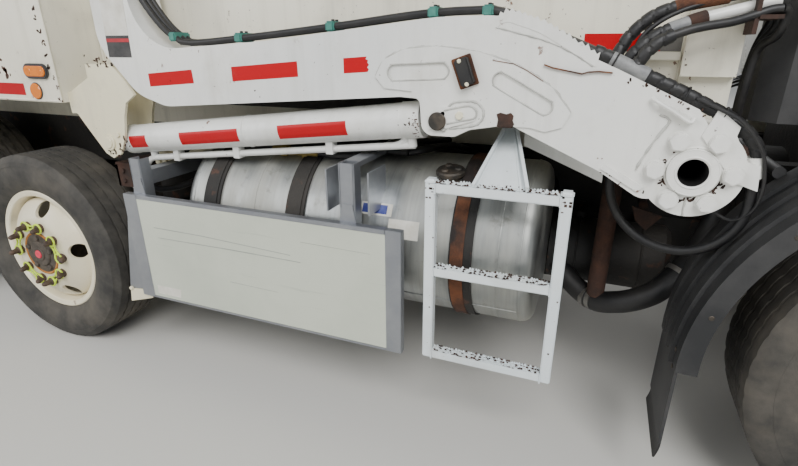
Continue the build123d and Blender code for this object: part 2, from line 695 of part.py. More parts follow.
# The torque tube ties the two arms together at their pivots, and a second tube at their elbows
with BuildPart() as arm_tubes:
    bar_y(pivot_x, pivot_z, (-arm_inner + seat_gap, arm_inner - seat_gap), torque_radius)
    bar_y(pivot_x, pivot_z, (-arm_inner, arm_inner), torque_bore, mode=Mode.SUBTRACT)
    bar_y(pivot_x - arm_reach + arm_depth / 2, pivot_z + arm_height - 100,
          (-arm_inner + seat_gap, arm_inner - seat_gap), 70)
save(arm_tubes, "arm_tubes")

# Brackets on the frame rails: bearing blocks that the torque tube turns in, and the cab's mounts
with BuildPart() as frame_brackets:
    for side in (-1, 1):
        block((pivot_x - 130, hopper_front - 1), (side * 352, side * 428),
              (rail_high + seat_gap, body_low - seat_gap))
        for x in (cab_rear + 60, 4440):
            block((x - 45, x + 45), (side * (rail_inner + rail_flange + seat_gap),
                  side * (tunnel_half - 20 - seat_gap)), (800, 900))
    bar_y(pivot_x, pivot_z, (-500, 500), torque_radius + pin_gap, mode=Mode.SUBTRACT)
save(frame_brackets, "frame_brackets")

# Forks on their shaft, folded back over the hopper
fork_x = pivot_x + fork_pivot_dx
fork_z = pivot_z + fork_pivot_dz
crank_pin = along((fork_x, fork_z), fork_crank_angle, fork_crank)
with BuildPart() as forks:
    bar_y(fork_x, fork_z, (-arm_outer - 12, arm_outer + 12), fork_shaft_radius)
    for side in (-1, 1):
        middle = -side * fork_mid
        with BuildSketch(Plane.XZ.offset(middle - fork_wide / 2)):
            with BuildLine():
                Polyline((fork_x + 70, fork_z - 60), (fork_x + 70, fork_z + 80),
                         (fork_x - fork_length + 120, fork_z + 80), (fork_x - fork_length, fork_z + 30),
                         (fork_x - fork_length, fork_z + 10), (fork_x - 60, fork_z - 60), close=True)
            make_face()
        extrude(amount=fork_wide)
        crank_face = fork_cyl_mid - fork_cyl_radius - 6
        with BuildSketch(Plane.XZ.offset(-side * crank_face)):
            with Locations((fork_x, fork_z)):
                Circle(85)
            with Locations(crank_pin):
                Circle(34)
            with BuildLine():
                Polyline((fork_x, fork_z + 80), (fork_x, fork_z - 80), (crank_pin[0], crank_pin[1] - 33),
                         (crank_pin[0], crank_pin[1] + 33), close=True)
            make_face()
        extrude(amount=side * 12)
        bar_y(crank_pin[0], crank_pin[1], (side * (crank_face - 1), side * (crank_face + 16)), fork_cyl_pin)
save(forks, "forks")


def cylinder_pair(base_pin, angle, length, middle, radius, rod_radius, pin, eye_wide, dead, base_hole):
    """Barrels and rods of a pair of cylinders, one on each side, drawn along their own line."""
    tip_pin = along(base_pin, angle, length)
    line = Plane(origin=(base_pin[0], -middle, base_pin[1]), x_dir=(0, 1, 0),
                 z_dir=(cos(radians(angle)), 0, sin(radians(angle))))
    eye_r = pin * 1.9
    with BuildPart() as barrel:
        with BuildSketch(line.offset(eye_r + 8)):
            Circle(radius)
        extrude(amount=length - dead - eye_r - 8)
        with BuildSketch(line):
            Rectangle(eye_wide, 1.5 * eye_r)
        extrude(amount=eye_r + 9)
        bar_y(base_pin[0], base_pin[1], (-middle - eye_wide / 2, -middle + eye_wide / 2), eye_r)
        with BuildSketch(line.offset(eye_r + 60)):
            Circle(rod_radius + pin_gap)
        extrude(amount=length, mode=Mode.SUBTRACT)
        bar_y(base_pin[0], base_pin[1], (-middle - eye_wide, -middle + eye_wide), base_hole,
              mode=Mode.SUBTRACT)
    with BuildPart() as rod:
        with BuildSketch(line.offset(eye_r + 75)):
            Circle(rod_radius)
        extrude(amount=length - eye_r - 75 - pin - 8)
        bar_y(tip_pin[0], tip_pin[1], (-middle - eye_wide / 2, -middle + eye_wide / 2), eye_r)
        bar_y(tip_pin[0], tip_pin[1], (-middle - eye_wide, -middle + eye_wide), pin + 2,
              mode=Mode.SUBTRACT)
    return both_sides(barrel), both_sides(rod)


lift_base = along(lug, lift_angle + 180, lift_length)
lift_barrels, lift_rods = cylinder_pair(lift_base, lift_angle, lift_length, lift_mid, lift_radius,
                                        lift_rod_radius, lift_pin, lift_eye_wide, 75, lift_pin + pin_gap)

# The port tube under each lift barrel, from its base to its head
tube_line = Plane(origin=(lift_base[0], -lift_mid, lift_base[1]), x_dir=(0, 1, 0),
                  z_dir=(cos(radians(lift_angle)), 0, sin(radians(lift_angle))))
with BuildPart() as port_tube:
    with BuildSketch(tube_line.offset(150)):
        with Locations((0, -port_tube_drop)):
            Circle(port_tube_radius)
    extrude(amount=lift_length - 75 - 40 - 150)
    for reach in (160, lift_length - 75 - 50):
        for near, far in ((lift_radius - 5, port_tube_drop + 6),):
            start = along(along(lift_base, lift_angle, reach), lift_angle - 90, near)
            with BuildSketch(Plane(origin=(start[0], -lift_mid, start[1]), x_dir=(0, 1, 0),
                                   z_dir=(sin(radians(lift_angle)), 0, -cos(radians(lift_angle))))):
                Circle(port_tube_radius + 3)
            extrude(amount=far - near)
with lift_barrels:
    add(both_sides(port_tube))
save(lift_barrels, "lift_barrels")
save(lift_rods, "lift_rods")

fork_base = (pivot_x + fork_base_dx, pivot_z + fork_base_dz)
fork_cyl_angle = degrees(atan2(crank_pin[1] - fork_base[1], crank_pin[0] - fork_base[0]))
fork_cyl_length = hypot(crank_pin[0] - fork_base[0], crank_pin[1] - fork_base[1])
fork_barrels, fork_rods = cylinder_pair(fork_base, fork_cyl_angle, fork_cyl_length, fork_cyl_mid,
                                        fork_cyl_radius, fork_cyl_rod, fork_cyl_pin, fork_cyl_eye, 60,
                                        fork_cyl_pin + pin_gap)
save(fork_barrels, "fork_barrels")
save(fork_rods, "fork_rods")

gate_cyl_angle = degrees(atan2(gate_eye[1] - gate_base[1], gate_eye[0] - gate_base[0]))
gate_cyl_length = hypot(gate_eye[0] - gate_base[0], gate_eye[1] - gate_base[1])
gate_barrels, gate_rods = cylinder_pair(gate_base, gate_cyl_angle, gate_cyl_length, gate_cyl_mid,
                                        gate_cyl_radius, gate_rod_radius, gate_pin, 24, 70,
                                        gate_pin + pin_gap)
save(gate_barrels, "tailgate_barrels")
save(gate_rods, "tailgate_rods")

# Brackets that hold the lift cylinders' base pins: two cheeks, nested below the arm's elbow
with BuildPart() as lift_bracket:
    cheek = [(420, 1230), (545, 1290), (545, 1345), (690, 1345), (750, 1285), (790, 1228), (735, 1195),
             (712, 1140), (690, 1050), (655, 985), (600, 955), (560, 975), (475, 1085), (415, 1165)]
    for near, thick in ((lift_mid + lift_radius + 4, 12), (arm_inner, 14)):
        with BuildSketch(Plane.XZ.offset(near)):
            with BuildLine():
                Polyline(*cheek, close=True)
            make_face()
        extrude(amount=thick)
    block((body_front + seat_gap, 540), (-arm_inner, -lift_mid - lift_radius - 15), (1140, 1226))
    block((body_front + seat_gap, 545), (-recess_half - seat_gap, -arm_inner - 1), (1140, 1226))
    bar_y(lift_base[0], lift_base[1], (-arm_inner - 1, -lift_mid - lift_radius - 15), lift_pin)
save(both_sides(lift_bracket), "lift_brackets")

# Tailgate: a bulged shell hung from the roof's rear edge
gate_front = body_rear - gate_gap
with BuildPart() as tailgate:
    gate_back = rear_end + gate_rib
    outer = [(gate_front, body_high - 60), (-4380, body_high - 60), (gate_back, 2500), (gate_back, 2050),
             (-4560, body_low + 20), (gate_front, body_low + 20)]
    inner = [(gate_front + 1, body_high - 60 - gate_wall), (-4376, body_high - 60 - gate_wall),
             (gate_back + gate_wall, 2498), (gate_back + gate_wall, 2053),
             (-4556, body_low + 20 + gate_wall), (gate_front + 1, body_low + 20 + gate_wall)]
    spine = [(x - gate_rib, z) if x < gate_front else (x, z) for x, z in outer]
    for y in gate_rib_ys:
        with BuildSketch(Plane.XZ.offset(-y - 30)):
            with BuildLine():
                Polyline(*spine, close=True)
            make_face()
        extrude(amount=60)
    for outline, half, mode in ((outer, body_half, Mode.ADD), (inner, body_half - gate_wall, Mode.SUBTRACT)):
        with BuildSketch(Plane.XZ.offset(-half)):
            with BuildLine():
                Polyline(*outline, close=True)
            make_face()
        extrude(amount=2 * half, mode=mode)
    for y in (-700, 0, 700):
        bar_y(gate_hinge_x, gate_hinge_z, (y - 60, y + 60), 20)
        block((gate_hinge_x - 90, gate_hinge_x), (y - 60, y + 60), (body_high - 62, gate_hinge_z))
        bar_y(gate_hinge_x, gate_hinge_z, (y - 61, y + 61), 12 + pin_gap, mode=Mode.SUBTRACT)
    for side in (-1, 1):
        bar_y(gate_eye[0], gate_eye[1], (side * (body_half - 1), side * (gate_cyl_mid - 24)), gate_pin)
save(tailgate, "tailgate")

# Cab shell: floor, rear wall, roof and front panel in one pressing, with arches and openings cut
cab_outline = [(cab_rear, cab_sill + 640), (cab_rear, cab_roof), (cab_brow_x - 260, cab_roof),
               (cab_brow_x, cab_brow_z), (cab_front, cab_belt), (cab_front, cab_sill), (4200, cab_sill)]
cab_hollow = [(cab_rear + cab_wall, cab_floor + cab_wall), (cab_rear + cab_wall, cab_roof - cab_wall),
              (cab_brow_x - 270, cab_roof - cab_wall), (cab_brow_x - 40, cab_brow_z - 50),
              (cab_front - cab_wall, cab_belt - 10), (cab_front - cab_wall, footwell + cab_wall),
              (4330, footwell + cab_wall), (4330, cab_floor + cab_wall)]
door_outline = [(door_rear, 1360), (door_rear, door_high), (cab_brow_x - 40, door_high),
                (door_front, cab_belt + 60), (door_front, door_low), (4330, door_low), (4200, 1180)]
with BuildPart() as cab_shell:
    with BuildSketch(Plane.XZ.offset(-cab_half)):
        with BuildLine():
            Polyline(*cab_outline, close=True)
        make_face()
    extrude(amount=2 * cab_half)
    with BuildSketch(Plane.XZ.offset(-cab_half + cab_wall)):
        with BuildLine():
            Polyline(*cab_hollow, close=True)
        make_face()
    extrude(amount=2 * (cab_half - cab_wall), mode=Mode.SUBTRACT)
    block((cab_rear, cab_front - 10), (-tunnel_half, tunnel_half), (cab_sill, cab_floor + cab_wall))
    block((cab_rear - 1, cab_front - 60), (-tunnel_half + 20, tunnel_half - 20),
          (cab_sill - 1, cab_floor - 20), mode=Mode.SUBTRACT)
    for side in (-1, 1):
        bar_y(steer_x, steer_radius, (side * (tunnel_half + 20), side * (cab_half + 1)), arch_radius,
              mode=Mode.SUBTRACT)
        with BuildSketch(Plane.XZ.offset(-side * (cab_half - cab_wall - 1))):
            with BuildLine():
                Polyline(*door_outline, close=True)
            make_face()
        extrude(amount=-side * (cab_wall + 2), mode=Mode.SUBTRACT)
    rake = degrees(atan2(cab_brow_z - cab_belt, cab_brow_x - cab_front))
    glass_plane = Plane(origin=((cab_front + cab_brow_x) / 2, 0, (cab_belt + cab_brow_z) / 2),
                        x_dir=(0, 1, 0), z_dir=(sin(radians(rake)), 0, -cos(radians(rake))))
    with BuildSketch(glass_plane.offset(-120)):
        RectangleRounded(2 * (cab_half - 110), 1160, 60)
    extrude(amount=240, mode=Mode.SUBTRACT)
    block((cab_front - grille_deep, cab_front + 1), (-grille_half, grille_half), (grille_low, grille_high),
          mode=Mode.SUBTRACT)
    for slat in range(1, grille_slats):
        z = grille_low + (grille_high - grille_low) * slat / grille_slats
        block((cab_front - grille_deep - 1, cab_front - 4), (-grille_half - 1, grille_half + 1),
              (z - 14, z + 14))
    for side in (-1, 1):
        block((cab_front - lamp_deep, cab_front + 1), (side * lamp_ys[0], side * lamp_ys[1]), lamp_zs,
              mode=Mode.SUBTRACT)
        for z in hinge_zs:
            with Locations((door_hinge_x, side * door_hinge_y, z)):
                Cylinder(8, 90)
            for low in (z - 45, z + 31):
                block((door_hinge_x - 8, door_hinge_x + 24), (side * (cab_half - 1), side * (cab_half + 26)),
                      (low, low + 14))
save(cab_shell, "cab_shell")

with BuildPart() as windscreen:
    with BuildSketch(glass_plane.offset(-26)):
        RectangleRounded(2 * (cab_half - 110) - 1, 1159, 59)
    extrude(amount=7)
save(windscreen, "windscreen")

# Doors: as thick as the cab's wall, hung at their front edge
door_x = door_gap
door_shape = [(door_rear + door_x, 1368), (door_rear + door_x, door_high - door_gap),
              (cab_brow_x - 48, door_high - door_gap), (door_front - door_gap, cab_belt + 56),
              (door_front - door_gap, door_low + door_gap), (4336, door_low + door_gap), (4209, 1186)]
pane = [(door_rear + 70, cab_belt + 60), (door_rear + 70, door_high - 75), (cab_brow_x - 80, door_high - 75),
        (door_front - 75, cab_belt + 60)]
with BuildPart() as door_right:
    with BuildSketch(Plane.XZ.offset(cab_half - cab_wall)):
        with BuildLine():
            Polyline(*door_shape, close=True)
        make_face()
    extrude(amount=cab_wall)
    with BuildSketch(Plane.XZ.offset(cab_half - cab_wall - 1)):
        with BuildLine():
            Polyline(*pane, close=True)
        make_face()
    extrude(amount=cab_wall + 2, mode=Mode.SUBTRACT)
    for z in hinge_zs:
        block((door_hinge_x - 50, door_front - door_gap), (-cab_half + 1, -door_hinge_y - 4),
              (z - 28, z + 28))
        block((door_front - door_gap - 1, door_hinge_x), (-cab_half - 2, -door_hinge_y - 4),
              (z - 28, z + 28))
        with Locations((door_hinge_x, -door_hinge_y, z)):
            Cylinder(16, 56)
            Cylinder(8 + pin_gap, 57, mode=Mode.SUBTRACT)
save(door_right, "door_right")
save(mirrored(door_right), "door_left")

with BuildPart() as door_glass_right:
    with BuildSketch(Plane.XZ.offset(cab_half - 25)):
        with BuildLine():
            Polyline(*pane, close=True)
        make_face()
        offset(amount=-seat_gap, kind=Kind.INTERSECTION)
    extrude(amount=5)
save(door_glass_right, "door_glass_right")
save(mirrored(door_glass_right), "door_glass_left")

# Dashboard with the two steering columns, one at each standing or sitting place
with BuildPart() as dashboard:
    deck = cab_floor + cab_wall + seat_gap
    with BuildSketch(Plane.XZ.offset(-1150)):
        with BuildLine():
            Polyline((4500, 1500), (4740, 1520), (cab_front - cab_wall - seat_gap, 1440),
                     (cab_front - cab_wall - seat_gap, deck), (4560, deck), close=True)
        make_face()
    extrude(amount=2300)
    for y in (640, -640):
        wheel_plane = Plane(origin=(4470, y, 1610), x_dir=(0, 1, 0), z_dir=(-0.5, 0, 0.866))
        with BuildSketch(wheel_plane):
            Circle(225)
            Circle(195, mode=Mode.SUBTRACT)
            Rectangle(400, 34)
            Circle(50)
        extrude(amount=28)
        with BuildSketch(wheel_plane):
            Circle(32)
        extrude(amount=-190)
save(dashboard, "dashboard")

with BuildPart() as seats:
    for y in (640, -640):
        block((3560, 4060), (y - 240, y + 240), (1520, 1640))
        block((3480, 3600), (y - 240, y + 240), (1520, 2250))
        block((3640, 3980), (y - 150, y + 150), (cab_floor + cab_wall + seat_gap, 1521))
    fillet(seats.edges().filter_by(Axis.Y), 20)
save(seats, "seats")

with BuildPart() as mirror_right:
    block((4770, 4850), (-1280, -1440), (1750, 2300))
    fillet(mirror_right.edges().filter_by(Axis.Z), 25)
    for z in (1780, 1900):
        pillar_x = (cab_front + door_front) / 2 + (z - cab_belt) * (cab_brow_x - cab_front) / (
            cab_brow_z - cab_belt)
        bar_y(pillar_x, z, (-cab_half - seat_gap, -1290), 12)
        block((pillar_x - 12, 4822), (-1282, -1300), (z - 12, z + 12))
with BuildPart() as cab_mouldings:
    add(both_sides(mirror_right))
    block((intake_rear, cab_rear - seat_gap), intake_ys, (intake_low, intake_high))
    chamfer(cab_mouldings.edges().filter_by(Axis.Z).group_by(Axis.X)[0], 60)
    block((intake_rear + 30, cab_rear - 30), (intake_ys[0] + 30, intake_ys[1] - 30),
          (intake_low - 1, intake_low + 200), mode=Mode.SUBTRACT)
save(cab_mouldings, "mirrors_and_intake")

# Steer fenders: a moulded arc over each tyre with its mud flap
with BuildPart() as fender_right:
    with BuildSketch(Plane.XZ.offset(940)):
        with Locations((steer_x, steer_radius)):
            Circle(fender_in + fender_shell)
            Circle(fender_in, mode=Mode.SUBTRACT)
            with Locations((0, -fender_in / 2 - 20)):
                Rectangle(2.2 * fender_in, fender_in, mode=Mode.SUBTRACT)
            with Locations((fender_in * 0.98, 0)):
                Rectangle(fender_in * 0.5, 2.2 * fender_in, mode=Mode.SUBTRACT)
    extrude(amount=fender_wide)
    for across, out, thick in fender_rings:
        with BuildSketch(Plane.XZ.offset(940 + across)):
            with Locations((steer_x, steer_radius)):
                Circle(fender_in + out)
                Circle(fender_in if out > fender_shell else fender_in - fender_lip, mode=Mode.SUBTRACT)
                with Locations((0, -fender_in)):
                    Rectangle(2.4 * fender_in, 2 * fender_in - 40, mode=Mode.SUBTRACT)
                with Locations((fender_in * 0.98, 0)):
                    Rectangle(fender_in * 0.5, 2.4 * fender_in, mode=Mode.SUBTRACT)
        extrude(amount=thick)
    block((steer_x - fender_in - 12, steer_x - fender_in - 2), (-950, -1260), (230, 520))
    bar_y(steer_x - 500, 1058, (-rail_inner - rail_flange - seat_gap, -950), 18)
    block((steer_x - 530, steer_x - 470), (-rail_inner - rail_flange - seat_gap, -rail_inner - rail_flange - 12),
          (rail_high - 80, 1070))
save(both_sides(fender_right), "steer_fenders")

# Fuel tank with its straps and brackets
with BuildPart() as fuel_tank:
    bar_x((tank_rear, tank_front), -tank_mid, tank_z, tank_radius)
    fillet(fuel_tank.edges().filter_by(GeomType.CIRCLE), 45)
save(fuel_tank, "fuel_tank")

with BuildPart() as tank_straps:
    for x in strap_xs:
        bar_x((x - strap_wide / 2, x + strap_wide / 2), -tank_mid, tank_z, tank_radius + 8)
        block((x - strap_wide / 2, x + strap_wide / 2), (-rail_inner - rail_flange - seat_gap, -tank_mid),
              (tank_z - tank_radius - 8, tank_z + tank_radius - 40))
    bar_x((tank_rear - 1, tank_front + 1), -tank_mid, tank_z, tank_radius + seat_gap, mode=Mode.SUBTRACT)
save(tank_straps, "tank_straps")

# Side guard: a framed panel on two square posts with arms back to the frame
with BuildPart() as side_guard:
    block((guard_rear, guard_front), (-guard_face, -guard_face + guard_thick), (guard_low, guard_high))
    block((guard_rear + 60, guard_front - 60), (-guard_face - 1, -guard_face + 6),
          (guard_low + 30, guard_high - 30), mode=Mode.SUBTRACT)
    for x, low, high, top, root in guard_arms:
        block((x, x + 60), (-guard_face + guard_thick - 1, -guard_face + guard_thick + guard_post),
              (guard_low + 40, top))
        block((x, x + 60), (-guard_face + guard_thick + guard_post - 1, -root - seat_gap), (low, high))
save(side_guard, "side_guard")

# Access step: a welded tube frame with three rungs, hung from a gusset
with BuildPart() as access_step:
    near = -guard_face
    far = -guard_face + step_tube
    for x in (step_rear, step_front - step_tube):
        block((x, x + step_tube), (near, far), (step_low, step_high))
    for z in (step_low, 700, step_high - step_tube):
        block((step_rear, step_front), (near, far), (z, z + step_tube))
        block((step_rear, step_front), (near, far + 30), (z, z + 10))
    lean = Plane(origin=(0, near + 14, step_high - 12), x_dir=(1, 0, 0), z_dir=(0, -0.49, 0.872))
    with BuildSketch(lean):
        with BuildLine():
            Polyline((2170, 0), (2440, 0), (2325, 340), (2275, 340), close=True)
        make_face()
    extrude(amount=8)
    block((2275, 2325), (-992, -900), (1150, body_low - seat_gap))
save(access_step, "access_step")

# Hydraulic oil tank and battery box on the other side
with BuildPart() as left_boxes:
    block((1250, 2300), (rail_inner + rail_flange + seat_gap, 1150), (480, 960))
    block((760, 1180), (rail_inner + rail_flange + seat_gap, 1120), (500, 920))
    chamfer(left_boxes.edges().filter_by(Axis.X), 30)
save(left_boxes, "oil_tank_and_battery_box")

# Marker lamps in their grommets and the round reflectors on the body's front corners
with BuildPart() as lamp_right:
    with BuildSketch(Plane.XZ.offset(body_half + seat_gap)):
        with Locations((293, 1314)):
            SlotOverall(150, 62)
    extrude(amount=18)
    bar_y(260, 1231, (-body_half - seat_gap, -body_half - 9), 36)

with BuildPart() as lamps:
    add(both_sides(lamp_right))
    for y in roof_lamp_ys:
        block((4090, 4150), (y - 60, y + 60), (cab_roof + seat_gap, cab_roof + 32))
    for side in (-1, 1):
        block((cab_front - lamp_deep + seat_gap, cab_front + 12), (side * (lamp_ys[0] + 1), side * (lamp_ys[1] - 1)),
              (lamp_zs[0] + 1, lamp_zs[1] - 1))
        block((-4200, -4140), (side * 700, side * 1150), (1020, 1150))
        block((-4141, body_rear - seat_gap), (side * 370, side * 720), (1040, 1100))
save(lamps, "lamps")
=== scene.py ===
from math import atan2, cos, pi, radians, sin
from random import Random

import bmesh
import bpy
from mathutils import Matrix, Vector


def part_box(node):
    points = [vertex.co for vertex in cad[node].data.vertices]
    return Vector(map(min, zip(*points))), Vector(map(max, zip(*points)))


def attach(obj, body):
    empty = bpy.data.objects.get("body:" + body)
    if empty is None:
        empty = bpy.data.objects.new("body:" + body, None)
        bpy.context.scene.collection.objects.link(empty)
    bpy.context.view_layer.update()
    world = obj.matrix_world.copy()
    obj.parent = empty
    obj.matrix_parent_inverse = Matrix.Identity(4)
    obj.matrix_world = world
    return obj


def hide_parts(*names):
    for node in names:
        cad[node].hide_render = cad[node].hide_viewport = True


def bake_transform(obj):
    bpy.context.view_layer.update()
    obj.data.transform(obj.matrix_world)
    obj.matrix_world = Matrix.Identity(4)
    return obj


# A front-loading garbage truck, seen from its right side between its second axle and its front wheel.
# Metres. +X is the front, +Y the driver's left, +Z up, the ground is Z = 0.
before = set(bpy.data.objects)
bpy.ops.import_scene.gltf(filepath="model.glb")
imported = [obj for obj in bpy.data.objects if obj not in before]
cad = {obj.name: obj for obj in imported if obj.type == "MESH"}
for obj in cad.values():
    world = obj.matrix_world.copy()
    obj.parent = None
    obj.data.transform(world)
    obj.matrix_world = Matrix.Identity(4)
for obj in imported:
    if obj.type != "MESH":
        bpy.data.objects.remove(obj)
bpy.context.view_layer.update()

# Camera. It stands at chest height, an arm's length from the side guard, and looks down and a little
# back along the truck. The lens is a phone's main one, given for a sensor 36 mm wide.


def placed(name, data):
    """A new object for the data, linked to the scene."""
    made = bpy.data.objects.new(name, data)
    bpy.context.scene.collection.objects.link(made)
    return made


camera_data = bpy.data.cameras.new("camera")
camera_data.lens = 22.2
camera_data.sensor_width = 36
camera = placed("camera", camera_data)
camera.matrix_world = (Matrix.Translation((2.55, -2.7, 1.421)) @ Matrix.Rotation(radians(21.83), 4, "Z")
                       @ Matrix.Rotation(radians(90 - 21.08), 4, "X")
                       @ Matrix.Rotation(radians(-0.15), 4, "Z"))
bpy.context.scene.camera = camera

# Hydraulic hose that loops under the right arm's pivot: wire-braided rubber in a smooth black cover, held by
# a crimped steel ferrule at each end. It follows the arm and stays stiff enough to keep its loop.


def linear(code):
    """An sRGB hex colour as linear RGBA."""
    channels = [int(code[place:place + 2], 16) / 255 for place in (1, 3, 5)]
    return tuple(c / 12.92 if c <= 0.04045 else ((c + 0.055) / 1.055) ** 2.4 for c in channels) + (1.0,)


def add_node(tree, kind, inputs=None, **settings):
    """Adds a node with its settings. inputs takes a socket's name or number to a value or a socket."""
    made = tree.nodes.new(kind)
    for name, value in settings.items():
        setattr(made, name, value)
    for key, value in (inputs or {}).items():
        if isinstance(value, bpy.types.NodeSocket):
            tree.links.new(value, made.inputs[key])
        else:
            made.inputs[key].default_value = value
    return made


def new_finish(name, roughness, metallic=0.0):
    """An empty finish: the material, its tree, its shader and a socket with the place on the truck."""
    material = bpy.data.materials.new(name)
    material.use_nodes = True
    tree = material.node_tree
    shader = tree.nodes["Principled BSDF"]
    shader.inputs["Roughness"].default_value = roughness
    shader.inputs["Metallic"].default_value = metallic
    place = add_node(tree, "ShaderNodeTexCoord").outputs["Object"]
    return material, tree, shader, place


def patches(tree, place, size, low, high, stretch=(1, 1, 1), detail=5.0):
    """A mask of patches about size metres across: 0 below low, 1 above high."""
    mapped = add_node(tree, "ShaderNodeMapping", {"Vector": place, "Scale": stretch})
    noise = add_node(tree, "ShaderNodeTexNoise", {"Vector": mapped.outputs[0], "Scale": 0.5 / size,
                                                  "Detail": detail, "Roughness": 0.62})
    return add_node(tree, "ShaderNodeMapRange",
                    {"Value": noise.outputs[0], "From Min": low, "From Max": high}).outputs[0]


def painted(tree, shader, base, *layers):
    """Lays layers of (hex colour, mask, strength) over the base hex colour."""
    colour = linear(base)
    for code, mask, strength in layers:
        amount = add_node(tree, "ShaderNodeMath", {0: mask, 1: strength}, operation="MULTIPLY")
        colour = add_node(tree, "ShaderNodeMix", {"Factor": amount.outputs[0], 6: colour, 7: linear(code)},
                          data_type="RGBA").outputs[2]
    tree.links.new(colour, shader.inputs["Base Color"])


def roughened(tree, shader, mask, low, high):
    """Roughness that goes from low to high as the mask says."""
    rough = add_node(tree, "ShaderNodeMapRange", {"Value": mask, "To Min": low, "To Max": high})
    tree.links.new(rough.outputs[0], shader.inputs["Roughness"])


def raised(tree, shader, height, distance):
    """Bump from a height mask, distance metres deep."""
    bump = add_node(tree, "ShaderNodeBump", {"Height": height, "Distance": distance, "Strength": 1.0})
    before = shader.inputs["Normal"]
    if before.is_linked:
        tree.links.new(before.links[0].from_socket, bump.inputs["Normal"])
    tree.links.new(bump.outputs[0], before)


def plain_finish(name, base, second, size, roughness, metallic=0.0, bump=0.0004, amount=0.7):
    """A finish of two tones in patches, with a fine grain at the same scale."""
    material, tree, shader, place = new_finish(name, roughness, metallic)
    painted(tree, shader, base, (second, patches(tree, place, size, 0.38, 0.68, detail=8.0), amount))
    raised(tree, shader, patches(tree, place, size * 0.12, 0.3, 0.7, detail=4.0), bump)
    return material


def as_mesh(name, form):
    """A mesh from an open form, which is closed."""
    mesh = bpy.data.meshes.new(name)
    form.to_mesh(mesh)
    form.free()
    return mesh


def finished_mesh(name, form, sharp=35):
    """Closes a bmesh: faces point out, and edges sharper than the angle stay crisp."""
    bmesh.ops.remove_doubles(form, verts=form.verts, dist=0.00002)
    bmesh.ops.recalc_face_normals(form, faces=form.faces)
    for face in form.faces:
        face.smooth = True
    for edge in form.edges:
        if len(edge.link_faces) == 2 and edge.calc_face_angle(0) > radians(sharp):
            edge.smooth = False
    return as_mesh(name, form)


def new_piece(name, form, body, finish, sharp=35):
    """An object from an open form or a mesh. It rides on a CAD body, or on none yet."""
    mesh = form if isinstance(form, bpy.types.Mesh) else finished_mesh(name, form, sharp)
    piece = placed(name, mesh)
    mesh.materials.append(finish)
    if body:
        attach(piece, body)
    return piece


def skinned(form, rings, closed=False):
    """Faces from ring to ring of as many vertices, and over both ends unless the rings are closed."""
    for here, there in list(zip(rings, rings[1:])) + ([(rings[-1], rings[0])] if closed else []):
        for corner in range(len(here)):
            after = (corner + 1) % len(here)
            form.faces.new((here[corner], here[after], there[after], there[corner]))
    if not closed:
        form.faces.new(list(reversed(rings[0])))
        form.faces.new(rings[-1])


def disc(form, centre, axis, radius, depth, sides=24, edge=0.0):
    """A turned stud or disc, from its centre outwards along the axis, with its outer edge broken."""
    axis = Vector(axis).normalized()
    outline = [(radius, 0), (radius, depth - edge)] + ([(radius - edge, depth)] if edge else [])
    side = axis.orthogonal().normalized()
    up = axis.cross(side)
    turns = [2 * pi * corner / sides for corner in range(sides)]
    spokes = [side * cos(turn) + up * sin(turn) for turn in turns]
    skinned(form, [[form.verts.new(Vector(centre) + axis * out + spoke * reach) for spoke in spokes]
                   for reach, out in outline])


hose_rubber = plain_finish("hose_rubber_black", "#111113", "#302E2C", 0.05, 0.5, bump=0.0002)
bare_steel = plain_finish("steel_worn_bare", "#3B3936", "#6B5F52", 0.02, 0.55, 0.6)
hose_route = [(2.952, -1.165, 1.085), (2.964, -1.165, 1.002), (2.944, -1.16, 0.924), (2.896, -1.139, 0.862),
              (2.828, -1.108, 0.826), (2.74, -1.068, 0.828), (2.67, -1.038, 0.866), (2.624, -1.018, 0.93),
              (2.605, -1.01, 1.005), (2.605, -1.01, 1.085)]
hose_line = bpy.data.curves.new("pivot_hose_rubber", "CURVE")
hose_line.dimensions = "3D"
spline = hose_line.splines.new("NURBS")
spline.points.add(len(hose_route) - 1)
for point, place in zip(spline.points, hose_route):
    point.co = (*place, 1.0)
spline.order_u = 3
spline.use_endpoint_u = True
spline.resolution_u = 12
hose_line.bevel_depth = 0.014
hose_line.bevel_resolution = 8
hose_line.use_fill_caps = True
hose_line.materials.append(hose_rubber)
pivot_hose = placed("pivot_hose_rubber", hose_line)
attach(pivot_hose, "arms")
form = bmesh.new()
for end, axis in (((2.953, -1.165, 1.078), (-0.1437, 0.0, 1.0)), ((2.605, -1.01, 1.04), (0.0, 0.0, 1.0))):
    disc(form, end, axis, 0.0185, 0.045, 28, 0.003)
    disc(form, Vector(end) + Vector(axis) * 0.03, axis, 0.0225, 0.018, 6, 0.002)
ferrules = new_piece("pivot_hose_ferrules", form, "arms", bare_steel)
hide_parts("pivot_hose")

# Chassis: pressed rails, cross members, brackets and axles, painted black and driven through every wet
# street since. The paint is dull, brown with road dirt on what faces up, and rusty in spots.


def chassis_enamel(name, paint, dirt, rust_tone):
    """Brushed-on chassis enamel with caked road dirt and rust coming through."""
    material, tree, shader, place = new_finish(name, 0.7)
    painted(tree, shader, paint, (dirt, patches(tree, place, 0.22, 0.4, 0.72), 0.75),
            (rust_tone, patches(tree, place, 0.05, 0.6, 0.66, detail=8.0), 0.85))
    raised(tree, shader, patches(tree, place, 0.012, 0.35, 0.75, detail=8.0), 0.0012)
    return material


def coat(material, *names):
    """Gives CAD nodes a finish in place of the one they came with."""
    for name in names:
        cad[name].data.materials.clear()
        cad[name].data.materials.append(material)


